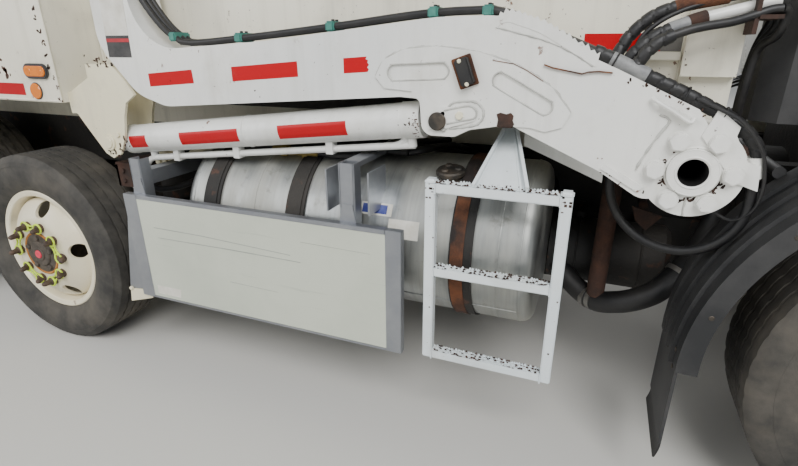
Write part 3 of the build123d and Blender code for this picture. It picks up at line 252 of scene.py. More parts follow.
chassis_black = chassis_enamel("chassis_enamel_black", "#161514", "#35302A", "#4B3022")
cast_iron = chassis_enamel("cast_iron_oily", "#211F1E", "#38322B", "#553A28")
coat(chassis_black, "frame", "driveline", "frame_brackets", "rear_suspension", "steer_axle", "pusher_axle",
     "drive_axles", "tank_straps", "front_bumper")
coat(cast_iron, "engine", "knuckle_left", "knuckle_right")

# White enamel over steel: body, hopper, arms, cylinders and cab. It is sprayed thick, a warm white that has
# greyed and streaked downwards, with small rust spots where stones and bins have chipped it.


def white_enamel(name, paint, shade, streaks, rust_amount, gloss=0.34):
    """Sprayed enamel: tone in large patches, streaks that run down, chips that rust."""
    material, tree, shader, place = new_finish(name, gloss)
    shader.inputs["Coat Weight"].default_value = 0.25
    shader.inputs["Coat Roughness"].default_value = 0.25
    grime = patches(tree, place, 0.1, 0.52, 0.8, detail=9.0)
    chips = add_node(tree, "ShaderNodeMath", {0: patches(tree, place, 0.025, 0.665, 0.68, detail=8.0),
                                              1: patches(tree, place, 0.35, 0.5, 0.6)},
                     operation="MULTIPLY").outputs[0]
    painted(tree, shader, paint, (shade, patches(tree, place, 0.5, 0.38, 0.7), 0.7),
            ("#8C8775", patches(tree, place, 0.03, 0.5, 0.78, stretch=(1, 1, 0.07), detail=4.0), streaks),
            ("#A39C88", grime, 0.4), ("#4A3A2E", patches(tree, place, 0.006, 0.705, 0.73, detail=3.0), 0.8),
            ("#6B4029", chips, rust_amount))
    roughened(tree, shader, grime, gloss, gloss + 0.25)
    raised(tree, shader, patches(tree, place, 0.3, 0.3, 0.7, detail=2.0), 0.003)
    raised(tree, shader, patches(tree, place, 0.004, 0.3, 0.7, detail=2.0), 0.00008)
    sunk = add_node(tree, "ShaderNodeMath", {0: 1.0, 1: chips}, operation="SUBTRACT")
    raised(tree, shader, sunk.outputs[0], 0.0006)
    return material


body_white = white_enamel("enamel_body_white", "#E9E4D2", "#D9D4C2", 0.3, 0.9)
arm_white = white_enamel("enamel_arm_white", "#E7E6E0", "#CFD2D2", 0.2, 0.9)
bracket_cream = white_enamel("enamel_bracket_cream", "#E9E2C6", "#D6CCAB", 0.15, 1.0)
step_white = white_enamel("enamel_step_white", "#DDE3E4", "#C3CDD1", 0.1, 1.0)
cab_white = white_enamel("enamel_cab_white", "#ECE9DE", "#DCDACF", 0.12, 0.5, gloss=0.22)
wheel_cream = white_enamel("enamel_wheel_cream", "#EAE2CA", "#D9CDAC", 0.05, 0.7, gloss=0.4)
coat(body_white, "body_shell", "body_sills", "hopper", "tailgate")
coat(arm_white, "arm_left", "arm_right", "arm_tubes", "forks", "lift_barrels", "fork_barrels",
     "tailgate_barrels")
coat(bracket_cream, "lift_brackets")
coat(step_white, "access_step")
coat(cab_white, "cab_shell", "door_left", "door_right", "oil_tank_and_battery_box")

# Packing panel of bare steel, scoured along the truck by every load, and hard-chromed cylinder rods, hazed
# where dust sticks to their oil.
scoured_steel, tree, shader, place = new_finish("hopper_steel_scoured", 0.45, 0.85)
scrapes = patches(tree, place, 0.01, 0.35, 0.7, stretch=(0.05, 1, 1), detail=6.0)
painted(tree, shader, "#6F6A62", ("#4A4038", scrapes, 1.0))
raised(tree, shader, scrapes, 0.0006)
coat(scoured_steel, "packer_panel")

hard_chrome, tree, shader, place = new_finish("hard_chrome", 0.12, 1.0)
haze = patches(tree, place, 0.08, 0.45, 0.75, detail=8.0)
painted(tree, shader, "#C9CACB", ("#8E8A84", haze, 0.5))
roughened(tree, shader, haze, 0.1, 0.35)
coat(hard_chrome, "lift_rods", "fork_rods", "tailgate_rods")

# Retroreflective tape: two inches wide, red stretches with a prismatic grain on the arm, the cylinder, the
# body and the hopper. One end has torn. The stickers beside the elbow carry blank bands.


def plate(form, outline, near, far):
    """A plate with corners (X, Z), from Y = near to Y = far, into the open bmesh form."""
    skinned(form, [[form.verts.new((x, y, z)) for x, z in outline] for y in (near, far)])


def box(form, xs, ys, zs):
    """A box given by its ranges."""
    plate(form, [(xs[0], zs[0]), (xs[1], zs[0]), (xs[1], zs[1]), (xs[0], zs[1])], *ys)


def softened(form, width, segments=2):
    """Rounds every sharp edge of the form as it stands."""
    bmesh.ops.recalc_face_normals(form, faces=form.faces)
    edges = [edge for edge in form.edges if len(edge.link_faces) == 2 and edge.calc_face_angle(0) > 0.5]
    bmesh.ops.bevel(form, geom=edges, offset=width, segments=segments, affect="EDGES", clamp_overlap=True)


def through(points, spacing):
    """A smooth line through the points, sampled about every spacing metres."""
    points = [Vector(point) for point in points]
    ends = [2 * points[0] - points[1]] + points + [2 * points[-1] - points[-2]]
    line = []
    for index in range(1, len(ends) - 2):
        before, here, there, after = ends[index - 1:index + 3]
        count = max(2, round((there - here).length / spacing))
        for step in range(count):
            t = step / count
            line.append(0.5 * (2 * here + (there - before) * t
                               + (2 * before - 5 * here + 4 * there - after) * t * t
                               + (3 * here - before - 3 * there + after) * t ** 3))
    return line + [points[-1]]


def tube(form, line, radius, sides=14, wrap=0.0, pitch=0.03):
    """A round tube along a sampled line. radius may be a function of the run; wrap is a sleeve's spiral."""
    rings = []
    side = (line[1] - line[0]).orthogonal().normalized()
    run = 0.0
    for index, place in enumerate(line):
        ahead = (line[min(index + 1, len(line) - 1)] - line[max(index - 1, 0)]).normalized()
        side = (side - ahead * side.dot(ahead)).normalized()
        up = ahead.cross(side)
        run += (place - line[max(index - 1, 0)]).length
        rings.append([])
        for corner in range(sides):
            angle = 2 * pi * corner / sides
            reach = radius(run) if callable(radius) else radius
            if (run / pitch + corner / sides) % 1 < 0.78:
                reach += wrap
            rings[-1].append(form.verts.new(place + side * reach * cos(angle) + up * reach * sin(angle)))
    skinned(form, rings)


def pipe(form, points, spacing, *shape):
    """A tube along the smooth line through the points. shape is what tube takes after its line."""
    tube(form, through(points, spacing), *shape)


def ring(form, centre, axis, radius, thick, steps=36, sides=8):
    """A torus: a weld bead, an O-ring or a rolled lip."""
    axis = Vector(axis).normalized()
    side = axis.orthogonal().normalized()
    up = axis.cross(side)
    turns = [2 * pi * corner / sides for corner in range(sides)]
    rings = []
    for step in range(steps):
        out = side * cos(2 * pi * step / steps) + up * sin(2 * pi * step / steps)
        rings.append([form.verts.new(Vector(centre) + out * (radius + thick * cos(turn))
                                     + axis * thick * sin(turn)) for turn in turns])
    skinned(form, rings, closed=True)


def applied(piece):
    """The mesh of an object with its modifiers applied."""
    bpy.context.view_layer.update()
    return bpy.data.meshes.new_from_object(piece.evaluated_get(bpy.context.evaluated_depsgraph_get()))


def repeated(name, part, places, material, body):
    """Copies of a small closed mesh at (place, turn, size), set out by Geometry Nodes and made one mesh."""
    points = bpy.data.meshes.new(name + "_places")
    points.from_pydata([place for place, _, _ in places], [], [])
    for label, index in (("turn", 1), ("size", 2)):
        values = points.attributes.new(label, "FLOAT_VECTOR", "POINT")
        for row, place in enumerate(places):
            values.data[row].vector = place[index]
    host = placed(name, points)
    pattern = placed(name + "_pattern", part)
    group = bpy.data.node_groups.new(name, "GeometryNodeTree")
    group.interface.new_socket("Geometry", in_out="INPUT", socket_type="NodeSocketGeometry")
    chosen = group.interface.new_socket("Pattern", in_out="INPUT", socket_type="NodeSocketObject")
    group.interface.new_socket("Geometry", in_out="OUTPUT", socket_type="NodeSocketGeometry")
    entry = add_node(group, "NodeGroupInput")
    shape = add_node(group, "GeometryNodeObjectInfo", {"Object": entry.outputs["Pattern"]})
    turn = add_node(group, "GeometryNodeInputNamedAttribute", {"Name": "turn"}, data_type="FLOAT_VECTOR")
    size = add_node(group, "GeometryNodeInputNamedAttribute", {"Name": "size"}, data_type="FLOAT_VECTOR")
    copies = add_node(group, "GeometryNodeInstanceOnPoints",
                      {"Points": entry.outputs["Geometry"], "Instance": shape.outputs["Geometry"],
                       "Rotation": turn.outputs["Attribute"], "Scale": size.outputs["Attribute"]})
    solid = add_node(group, "GeometryNodeRealizeInstances", {"Geometry": copies.outputs[0]})
    done = add_node(group, "GeometryNodeSetMaterial", {"Geometry": solid.outputs[0], "Material": material})
    add_node(group, "NodeGroupOutput", {"Geometry": done.outputs[0]})
    modifier = host.modifiers.new("copies", "NODES")
    modifier.node_group = group
    modifier[chosen.identifier] = pattern
    mesh = applied(host)
    host.modifiers.clear()
    host.data = mesh
    mesh.name = name
    bpy.data.objects.remove(pattern)
    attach(host, body)
    return host


rust = plain_finish("rust_flaking", "#3E261C", "#8A5430", 0.03, 0.92, bump=0.0012)
# A second, darker rust for chips, worn teeth, rubbed spots and rusty steel under the body: partly the dark
# colour of old rust, partly painted shade, kept dark where rusty parts sit in shadow.
rust_and_shade_dark = plain_finish("rust_old_dark_and_shade", "#2C211C", "#56382A", 0.04, 0.9, bump=0.001)
hose_sleeve = plain_finish("hose_sleeve_spiral", "#121214", "#2C2B2A", 0.03, 0.5, bump=0.0002)
grey_sleeve = plain_finish("hose_sleeve_grey", "#6E6F70", "#9A9A98", 0.02, 0.5)
zinc_yellow = plain_finish("fitting_zinc_yellow", "#8B7A3E", "#6A5730", 0.02, 0.45, 0.5)
clamp_green = plain_finish("cushion_clamp_green", "#2F6E63", "#4E8C80", 0.02, 0.6)


def and_left(form):
    """Adds the mirror image on the truck's left side."""
    copy = bmesh.ops.duplicate(form, geom=form.verts[:] + form.edges[:] + form.faces[:])["geom"]
    bmesh.ops.scale(form, vec=(1, -1, 1),
                    verts=[item for item in copy if isinstance(item, bmesh.types.BMVert)])
    bmesh.ops.reverse_faces(form, faces=[item for item in copy if isinstance(item, bmesh.types.BMFace)])


def tape_finish(name, colour, dark):
    """Prismatic vinyl: small cells, a gloss coat and a film of dirt."""
    material, tree, shader, place = new_finish(name, 0.32)
    shader.inputs["Coat Weight"].default_value = 0.1
    shader.inputs["Specular IOR Level"].default_value = 0.25
    cells = add_node(tree, "ShaderNodeTexVoronoi", {"Vector": place, "Scale": 260.0, "Randomness": 0.15})
    painted(tree, shader, colour, (dark, cells.outputs["Distance"], 0.8),
            ("#7A6A5C", patches(tree, place, 0.03, 0.62, 0.84, detail=8.0), 0.25))
    return material


tape_red = tape_finish("tape_red_prismatic", "#C00012", "#8C000E")
tape_white = tape_finish("tape_white_prismatic", "#D5D3CC", "#B5B3AC")
vinyl_white = plain_finish("vinyl_white_weathered", "#DEDBD2", "#BDB8AA", 0.03, 0.5, bump=0.0001)
vinyl_black = plain_finish("vinyl_black_weathered", "#222224", "#4A4846", 0.03, 0.5, bump=0.0001)
vinyl_red = plain_finish("vinyl_red_weathered", "#B3202C", "#7E1B22", 0.03, 0.5, bump=0.0001)
vinyl_blue = plain_finish("vinyl_blue_weathered", "#2F3A86", "#6F76A6", 0.02, 0.5, bump=0.0001)
arm_face = 1.187
film = 0.0007
tape_wide = 0.05


def taped(name, body, face, finish, *outlines):
    """Film with corners (X, Z) on the face, on both sides of the truck."""
    form = bmesh.new()
    for outline in outlines:
        plate(form, outline, -face - film, -face + film)
    and_left(form)
    new_piece(name, form, body, finish)


def strip(low, high, bottom):
    """Corners of a straight length of tape."""
    return [(low, bottom), (high, bottom), (high, bottom + tape_wide), (low, bottom + tape_wide)]


def wrapped(form, point, along, angles, radius, thick, steps):
    """Film round a barrel or a tank. point gives a place from reach, angle and radius; angles in degrees."""
    rows = []
    for step in range(steps + 1):
        angle = radians(angles[0] + (angles[1] - angles[0]) * step / steps)
        rows.append([form.verts.new(point(reach, angle, radius + off)) for reach, off in (
            (along[0], -thick), (along[1], -thick), (along[1], thick), (along[0], thick))])
    skinned(form, rows)


taped("arm_tapes", "arms", arm_face, tape_red,
      [(0.888, 1.264), (1.111, 1.282), (1.108, 1.331), (0.888, 1.313)],
      [(1.293, 1.293), (1.573, 1.315), (1.572, 1.365), (1.293, 1.343)],
      [(1.75, 1.329), (1.836, 1.335), (1.841, 1.343), (1.835, 1.349), (1.842, 1.357), (1.836, 1.364),
       (1.839, 1.371), (1.83, 1.374), (1.834, 1.382), (1.75, 1.376)])
lift_base = (0.5946, 1.0229)
lift_turn = radians(6.5)
lift_middle = 1.11
lift_radius = 0.06


def barrel_point(reach, angle, radius, side=-1):
    """A point on the lift barrel: reach along it, angle up from straight outwards, radius off its axis."""
    across = radius * sin(angle)
    return Vector((lift_base[0] + reach * cos(lift_turn) - across * sin(lift_turn),
                   side * (lift_middle + radius * cos(angle)),
                   lift_base[1] + reach * sin(lift_turn) + across * cos(lift_turn)))


form = bmesh.new()
for along in ((0.1, 0.194), (0.384, 0.68), (0.866, 1.152)):
    wrapped(form, barrel_point, along, (-31, 18), lift_radius, film, 10)
and_left(form)
new_piece("barrel_tapes", form, "lift_barrels", tape_red)
body_face = 1.22
hopper_face = 0.98
taped("body_tapes_red", "root", body_face, tape_red, strip(-0.12, 0.182, 1.211),
      *[strip(-0.73 - 0.61 * turn, -0.42 - 0.61 * turn, 1.211) for turn in range(6)])
taped("body_tapes_white", "root", body_face, tape_white,
      *[strip(-0.32 - 0.61 * turn, -0.12 - 0.61 * turn, 1.211) for turn in range(6)])
taped("hopper_tape_red", "root", hopper_face, tape_red, strip(2.476, 2.69, 1.397))
# The short white stretch beside the corner post is coloured dark grey.
tape_dark_grey = tape_finish("tape_white_prismatic_dark_grey", "#7C7A76", "#5E5C58")
taped("hopper_tape_white", "root", hopper_face, tape_dark_grey, strip(2.69, 2.752, 1.397))
sticker_lean = 0.03
for name, low, high, layers, finish in (("arm_sticker_white", 1.452, 1.6, 2, vinyl_white),
                                        ("arm_sticker_black", 1.372, 1.452, 2, vinyl_black),
                                        ("arm_sticker_band", 1.428, 1.441, 3, vinyl_red)):
    form = bmesh.new()
    plate(form, [(x + sticker_lean * (z - 1.372), z)
                 for x, z in ((0.697, low), (0.818, low), (0.818, high), (0.697, high))],
          -arm_face - layers * film, -arm_face + film)
    new_piece(name, form, "arms", finish)

# Arm fittings. The pivot's bore is ringed by a welded collar and six large bolts, and the lug's pin is worn
# black. The upper edge is cut to teeth behind the elbow and chipped; a rubber stop is bolted below it.
pivot = Vector((2.805, 0.0, 1.092))


def chips(form, spots, spread, size, near, random):
    """Small ragged flakes of bare metal about spots (X, Z), lying on the plane Y = near."""
    for x, z, count in spots:
        for _ in range(count):
            centre_x = x + random.gauss(0, spread)
            centre_z = z + random.gauss(0, spread)
            reach = size * random.uniform(0.35, 1.2)
            corners = random.randint(5, 8)
            turn = random.uniform(0, pi)
            outline = []
            for corner in range(corners):
                angle = 2 * pi * corner / corners
                radius = reach * random.uniform(0.55, 1.15)
                flat = random.uniform(0.4, 0.7)
                dx = radius * cos(angle)
                dz = radius * flat * sin(angle)
                outline.append((centre_x + dx * cos(turn) - dz * sin(turn),
                                centre_z + dx * sin(turn) + dz * cos(turn)))
            plate(form, outline, near - 0.0008, near + 0.0006)


random = Random(7)
arm_knocks = (([(pivot.x + 0.074 * cos(a), pivot.z + 0.074 * sin(a), 9)
                for a in (0.4, 0.7, 0.9, 2.2, 2.9, 3.2, 3.6, 4.5, 4.9, 5.6, 5.9)], 0.007, 0.009),
              ([(2.36 + 0.05 * step, 1.48 - 0.0275 * step, 3) for step in range(4)], 0.012, 0.006),
              ([(2.62 + 0.03 * step, 1.33 - 0.014 * step, 3) for step in range(8)], 0.006, 0.006),
              ([(2.575 + 0.03 * step, 1.07 - 0.012 * step, 2) for step in range(5)], 0.005, 0.005),
              ([(1.962 + 0.02 * step, 1.177 + 0.002 * step, 3) for step in range(4)], 0.008, 0.006),
              ([(2.285, 1.252, 14), (2.265, 1.262, 6), (1, 1.28, 1), (1.4, 1.255, 2)], 0.012, 0.008))
form = bmesh.new()
for spots, spread, size in arm_knocks:
    chips(form, spots, spread, size, -arm_face, random)
and_left(form)
new_piece("arm_chips", form, "arms", rust_and_shade_dark)

form = bmesh.new()
teeth = [(2.247, 1.486), (2.262, 1.5), (2.28, 1.506), (2.306, 1.5), (2.376, 1.475), (2.446, 1.437),
         (2.531, 1.389)]
upper = [(p.x, p.z) for p in through([(x, 0, z) for x, z in teeth], 0.0095)]
saw = [(x + random.uniform(-0.002, 0.002), z + (0.009 if index % 2 else -0.002) * random.uniform(0.5, 1.2))
       for index, (x, z) in enumerate(upper)]
plate(form, saw + [(x - 0.006, z - 0.03) for x, z in reversed(upper)], -arm_face - 0.0015, -arm_face + 0.004)
and_left(form)
new_piece("arm_serrated_edge", form, "arms", arm_white)

seams = (([(2.243, 1.463), (2.312, 1.446), (2.397, 1.422), (2.465, 1.392), (2.516, 1.361)], 0.0022),
         ([(2.7, 1.24), (2.726, 1.225), (2.705, 1.183), (2.678, 1.124), (2.665, 1.085)], 0.004),
         ([(2.803, 1.024), (2.802, 0.985), (2.803, 0.966)], 0.003),
         ([(1.896, 1.296), (1.868, 1.321), (1.895, 1.37), (1.964, 1.402), (2.067, 1.411), (2.2, 1.395),
           (2.318, 1.358), (2.416, 1.3), (2.471, 1.236)], 0.0045))
form = bmesh.new()
for line, radius in seams:
    steps = through([(x, -arm_face - 0.001, z) for x, z in line], 0.006)
    tube(form, [p + Vector((random.uniform(-1, 1), 0, random.uniform(-1, 1))) * radius * 0.18 for p in steps],
         lambda run, base=radius: base * (0.85 + 0.25 * sin(run * 900)), sides=8)
for first, last, wide in (((1.908, 1.334), (2.11, 1.344), 0.049), ((2.247, 1.33), (2.42, 1.238), 0.046)):
    slope = atan2(last[1] - first[1], last[0] - first[0])
    lip = []
    for centre, way in ((last, -1), (first, 1)):
        x = centre[0] + way * cos(slope) * wide / 2
        z = centre[1] + way * sin(slope) * wide / 2
        for step in range(9):
            angle = slope + way * pi / 2 + pi * step / 8
            lip.append((x + wide / 2 * cos(angle), -arm_face - 0.0055, z + wide / 2 * sin(angle)))
    pipe(form, lip + lip[:2], 0.012, 0.0026, 8)
and_left(form)
# Weld beads in a greyer enamel than the arm: partly dust caught in the seams, partly painted shade along the
# beads' edges.
weld_dust_and_shade = plain_finish("weld_enamel_dust_and_shade", "#C4C4BE", "#8B8982", 0.02, 0.6, bump=0.0003)
new_piece("arm_welds", form, "arms", weld_dust_and_shade, 60)


def around(centre, radius, count, first=0):
    """Places on a circle about the centre in a plane of X and Z, evenly set from the first angle on."""
    angles = [first + 2 * pi * turn / count for turn in range(count)]
    return [(centre[0] + radius * cos(angle), centre[1], centre[2] + radius * sin(angle)) for angle in angles]


hexagon = bmesh.new()
bmesh.ops.create_cone(hexagon, cap_ends=True, segments=24, radius1=0.0285, radius2=0.0285, depth=0.006)
bmesh.ops.create_cone(hexagon, cap_ends=True, segments=6, radius1=0.0255, radius2=0.0255, depth=0.022,
                      matrix=Matrix.Translation((0, 0, 0.012)))
softened(hexagon, 0.0022)
bolt_mesh = finished_mesh("hex_bolt", hexagon, 40)
bolt_circle = 0.0935
bolts = [(place, (radians(-90 * side), 0.3 * turn, 0), (1, 1, 1)) for side in (-1, 1) for turn, place
         in enumerate(around((pivot.x, side * (arm_face + 0.003), pivot.z), bolt_circle, 6))]
repeated("pivot_bolts", bolt_mesh, bolts, arm_white, "arms")

form = bmesh.new()
for radius, out, thick in ((0.0665, 0.0005, 0.0045), (0.0625, 0.0125, 0.0025), (0.0425, 0.0135, 0.003)):
    ring(form, (pivot.x, -arm_face - out, pivot.z), (0, 1, 0), radius, thick, 64)
and_left(form)
new_piece("pivot_collar_welds", form, "arms", arm_white, 60)

for name, finish, outline, far, near, edge in (
        ("stop_bracket", rust, [(2.117, 1.374), (2.174, 1.394), (2.206, 1.309), (2.15, 1.289)],
         0.015, 0.005, 0.002),
        ("stop_rubber", hose_rubber, [(2.131, 1.372), (2.169, 1.386), (2.197, 1.312), (2.16, 1.298)],
         0.042, 0.013, 0.004)):
    form = bmesh.new()
    plate(form, outline, -arm_face - far, -arm_face - near)
    softened(form, edge)
    new_piece(name, form, "arms", finish)
form = bmesh.new()
for x, z in ((2.15, 1.372), (2.176, 1.308)):
    disc(form, (x, -arm_face - 0.036, z), (0, -1, 0), 0.0065, 0.01, 6, 0.002)
disc(form, (2.15, -arm_face - 0.011, 1.213), (0, -1, 0), 0.013, 0.01, 6, 0.002)
and_left(form)
new_piece("stop_bolts", form, "arms", bracket_cream)
form = bmesh.new()
disc(form, (2.079, -arm_face - 0.004, 1.192), (0, -1, 0), 0.0285, 0.016, 40, 0.003)
and_left(form)
new_piece("lug_pin_ends", form, "arms", bare_steel)
form = bmesh.new()
keeper_ridge = [(2.112, 1.236), (2.123, 1.247), (2.14, 1.253), (2.183, 1.257), (2.208, 1.249), (2.222, 1.23),
                (2.222, 1.208), (2.208, 1.19), (2.183, 1.182), (2.139, 1.174), (2.118, 1.172)]
pipe(form, [(x, -arm_face - 0.0065, z) for x, z in keeper_ridge], 0.006,
     lambda run: 0.0042 * (0.85 + 0.2 * sin(run * 700)), 8)
keeper_edge = [(2.1, 1.226), (2.14, 1.236), (2.18, 1.243), (2.197, 1.235), (2.203, 1.221), (2.194, 1.206),
               (2.15, 1.196), (2.11, 1.186)]
pipe(form, [(x, -arm_face - 0.0125, z) for x, z in keeper_edge], 0.006, 0.0028, 8)
for x, z in ((2.096, 1.216), (2.098, 1.168)):
    disc(form, (x, -arm_face - 0.006, z), (0, -1, 0), 0.009, 0.006, 16, 0.002)
and_left(form)
# The keeper's welds share the same grey of dust and painted shade.
new_piece("keeper_welds", form, "arms", weld_dust_and_shade, 60)
form = bmesh.new()
scratches = ([(2.387, 1.364), (2.41, 1.356), (2.442, 1.35), (2.49, 1.341), (2.506, 1.346), (2.534, 1.348),
              (2.568, 1.345)], [(2.243, 1.374), (2.303, 1.365), (2.34, 1.348), (2.389, 1.319)])
for points, wide in zip(scratches, (0.0018, 0.001)):
    edge = [(x, z + wide) for x, z in points] + [(x, z - wide) for x, z in reversed(points)]
    plate(form, edge, -arm_face - 0.0075, -arm_face - 0.0002)
new_piece("arm_scratches", form, "arms", rust)
form = bmesh.new()
plate(form, [(2.33, 1.156), (2.585, 1.046), (2.585, 1.001), (2.33, 1.104)], -1.036, -1.028)
pipe(form, [(2.673, -1.196, 1.283), (2.69, -1.204, 1.274), (2.734, -1.204, 1.249), (2.762, -1.204, 1.231),
            (2.776, -1.204, 1.226), (2.781, -1.198, 1.236)], 0.008, 0.0055, 8)
and_left(form)
new_piece("arm_inner_flange", form, "arms", arm_white)

# Lift cylinders: painted barrels, one each side, with a welded head and base, steel port pipe under the
# barrel and short rubber feed hose to the valve beside the frame.
head_radius = 0.0622
form = bmesh.new()
for side in (-1, 1):
    for start, end, radius in ((1.352, 1.421, head_radius), (0.052, 0.074, 0.0618)):
        line = [barrel_point(start + (end - start) * part, 0, 0, side) for part in (0, 0.08, 0.92, 1)]
        tube(form, line, radius, 48)
    for reach in (1.35, 0.076, 0.7):
        ring(form, barrel_point(reach, 0, 0, side), (cos(lift_turn), 0, sin(lift_turn)), lift_radius, 0.0026,
             56)
new_piece("barrel_heads", form, "lift_barrels", arm_white)
form = bmesh.new()
for side in (-1, 1):
    y = side * lift_middle
    for bend in (((0.795, 0.9595), (0.76, 0.9552), (0.73, 0.944), (0.705, 0.918), (0.696, 0.89)),
                 ((1.862, 1.0815), (1.9, 1.087), (1.926, 1.098), (1.944, 1.118))):
        pipe(form, [(x, y, z) for x, z in bend], 0.008, 0.0128, 16)
    for reach in (0.3, 0.62, 1.05):
        low = barrel_point(reach, radians(-90), 0.062, side)
        box(form, (low.x - 0.014, low.x + 0.014), (y - 0.018, y + 0.018), (low.z - 0.04, low.z + 0.006))
new_piece("port_pipe_bends", form, "lift_barrels", arm_white)
form = bmesh.new()
for side in (-1, 1):
    y = side * lift_middle
    disc(form, (0.696, y, 0.893), (0, 0, -1), 0.024, 0.022, 6, 0.002)
    disc(form, (0.696, y, 0.873), (0, 0, -1), 0.018, 0.03, 24, 0.002)
new_piece("port_pipe_nuts", form, "lift_barrels", bracket_cream)
form = bmesh.new()
for side in (-1, 1):
    pipe(form, [(0.696, side * lift_middle, 0.852), (0.698, side * 1.106, 0.825), (0.722, side * 1.08, 0.8),
                (0.77, side * 1.01, 0.8), (0.8, side * 0.9, 0.815), (0.81, side * 0.7, 0.835),
                (0.81, side * 0.43, 0.84)], 0.012, 0.015, 16)
feed_hoses = new_piece("lift_feed_hoses", form, None, hose_rubber)
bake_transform(feed_hoses)
random = Random(11)
form = bmesh.new()
for side in (-1, 1):
    for _ in range(22):
        angle = radians(random.uniform(-60, 35))
        reach = 1.385 + 0.033 * random.random() ** 0.6
        size = random.uniform(0.0015, 0.0042)
        flake = [[form.verts.new(barrel_point(reach + size * 1.5 * cos(turn) * random.uniform(0.5, 1),
                                              angle + size / lift_radius * 0.6 * sin(turn),
                                              head_radius + high, side))
                  for turn in (0, 1.26, 2.51, 3.77, 5.03)] for high in (-0.001, 0.0005)]
        skinned(form, flake)
new_piece("barrel_head_chips", form, "lift_barrels", rust_and_shade_dark)

# Base brackets: flame-cut cheeks in thick cream enamel, with rust where the neck and the lower tip have
# been knocked, and a bolted plate over each pin.
form = bmesh.new()
bracket_face = 1.186
for spots, spread, size in (
        ([(0.62 + 0.02 * step, 1.35, 4) for step in range(6)], 0.01, 0.009),
        ([(0.585, 0.985, 8), (0.62, 0.975, 8), (0.66, 1, 8), (0.69, 1.03, 5)], 0.012, 0.01),
        ([(0.56, 1.34, 4), (0.46, 1.1, 3)], 0.012, 0.008)):
    chips(form, spots, spread, size, -bracket_face, random)
and_left(form)
new_piece("bracket_chips", form, "root", rust_and_shade_dark)
form = bmesh.new()
pin_x, pin_z = lift_base
disc(form, (pin_x, -bracket_face + 0.001, pin_z), (0, -1, 0), 0.034, 0.008, 40, 0.002)
disc(form, (pin_x, -bracket_face - 0.006, pin_z), (0, -1, 0), 0.024, 0.006, 40, 0.002)
for x, z in ((0.655, 1.06), (0.65, 0.985)):
    disc(form, (x, -bracket_face + 0.001, z), (0, -1, 0), 0.012, 0.01, 6, 0.002)
and_left(form)
new_piece("bracket_pin_plates", form, "root", bracket_cream)

# Hoses on the arm: three pressure hoses lie on the arm's top edge from the fork cylinders down the upright
# and round the elbow, tied by cushion clamps. The outer one wears a spiral sleeve near the pivot.
edge_line = [(1.86, 3.575), (1.3, 3.576), (1.02, 3.56), (0.905, 3.5), (0.866, 3.35), (0.862, 2.6),
             (0.862, 1.75), (0.868, 1.65), (0.901, 1.571), (0.975, 1.482), (1.04, 1.44), (1.109, 1.424),
             (1.424, 1.447), (1.719, 1.474), (2.0, 1.503), (2.162, 1.51), (2.262, 1.502), (2.42, 1.438),
             (2.53, 1.392), (2.562, 1.377)]
arm_hose = 0.0112
form = bmesh.new()
for y, lift in ((-1.166, 0.0), (-1.141, 0.002), (-1.116, 0.001)):
    pipe(form, [(x, y, z + lift) for x, z in edge_line], 0.03, arm_hose, 12)
pipe(form, [(1.86, -1.141, 3.575), (1.91, -1.1, 3.571), (1.94, -1.03, 3.595), (1.92, -0.99, 3.645)], 0.012,
     arm_hose, 12)
new_piece("arm_hoses", form, "arms", hose_rubber)
form = bmesh.new()
pipe(form, [(2.515, -1.166, 1.399), (2.533, -1.168, 1.393), (2.613, -1.172, 1.357), (2.68, -1.172, 1.327),
            (2.755, -1.17, 1.293), (2.824, -1.168, 1.258), (2.879, -1.166, 1.228), (2.918, -1.165, 1.196),
            (2.942, -1.165, 1.165), (2.952, -1.165, 1.14)], 0.004, 0.0165, 16, 0.0022, 0.034)
new_piece("arm_hose_sleeve", form, "arms", hose_sleeve, 25)
form = bmesh.new()
pipe(form, [(2.56, -1.17, 1.381), (2.613, -1.172, 1.357), (2.655, -1.172, 1.339)], 0.01, 0.02, 24)
new_piece("arm_hose_grey_length", form, "arms", grey_sleeve)
form = bmesh.new()
pipe(form, [(2.78, -1.185, 1.285), (2.833, -1.196, 1.262), (2.884, -1.199, 1.236), (2.923, -1.198, 1.197),
            (2.952, -1.194, 1.155), (2.967, -1.19, 1.108), (2.974, -1.186, 1.055), (2.966, -1.18, 0.997),
            (2.93, -1.16, 0.96), (2.886, -1.135, 0.972), (2.86, -1.125, 0.995)], 0.01, 0.0048, 10)
new_piece("arm_sensor_cable", form, "arms", hose_rubber)
clamp_ys = (-1.183, -1.099)
half = 0.016
form = bmesh.new()
for x, z in ((1.03, 1.446), (1.33, 1.441), (1.7, 1.473), (2.05, 1.507), (2.215, 1.508)):
    box(form, (x - half, x + half), clamp_ys, (z - half, z + half))
for z in (3.2, 2.6, 2.05, 1.78):
    box(form, (0.845, 0.879), clamp_ys, (z - half, z + half))
for x in (1.15, 1.55):
    box(form, (x - half, x + half), clamp_ys, (3.558, 3.592))
softened(form, 0.005)
new_piece("arm_hose_clamps", form, "arms", clamp_green)
form = bmesh.new()
for x, z in ((1.33, 1.459), (1.7, 1.491), (2.05, 1.525), (2.215, 1.526)):
    for y in (-1.128, -1.154):
        disc(form, (x, y, z - 0.002), (0, 0, 1), 0.006, 0.006, 6, 0.001)
for x, z in ((2.57, 1.376), (2.755, 1.293), (2.85, 1.245)):
    ring(form, (x, -1.171, z), (1, 0, -0.45), 0.0205, 0.0024, 24)
new_piece("arm_hose_ties", form, "arms", hose_sleeve)
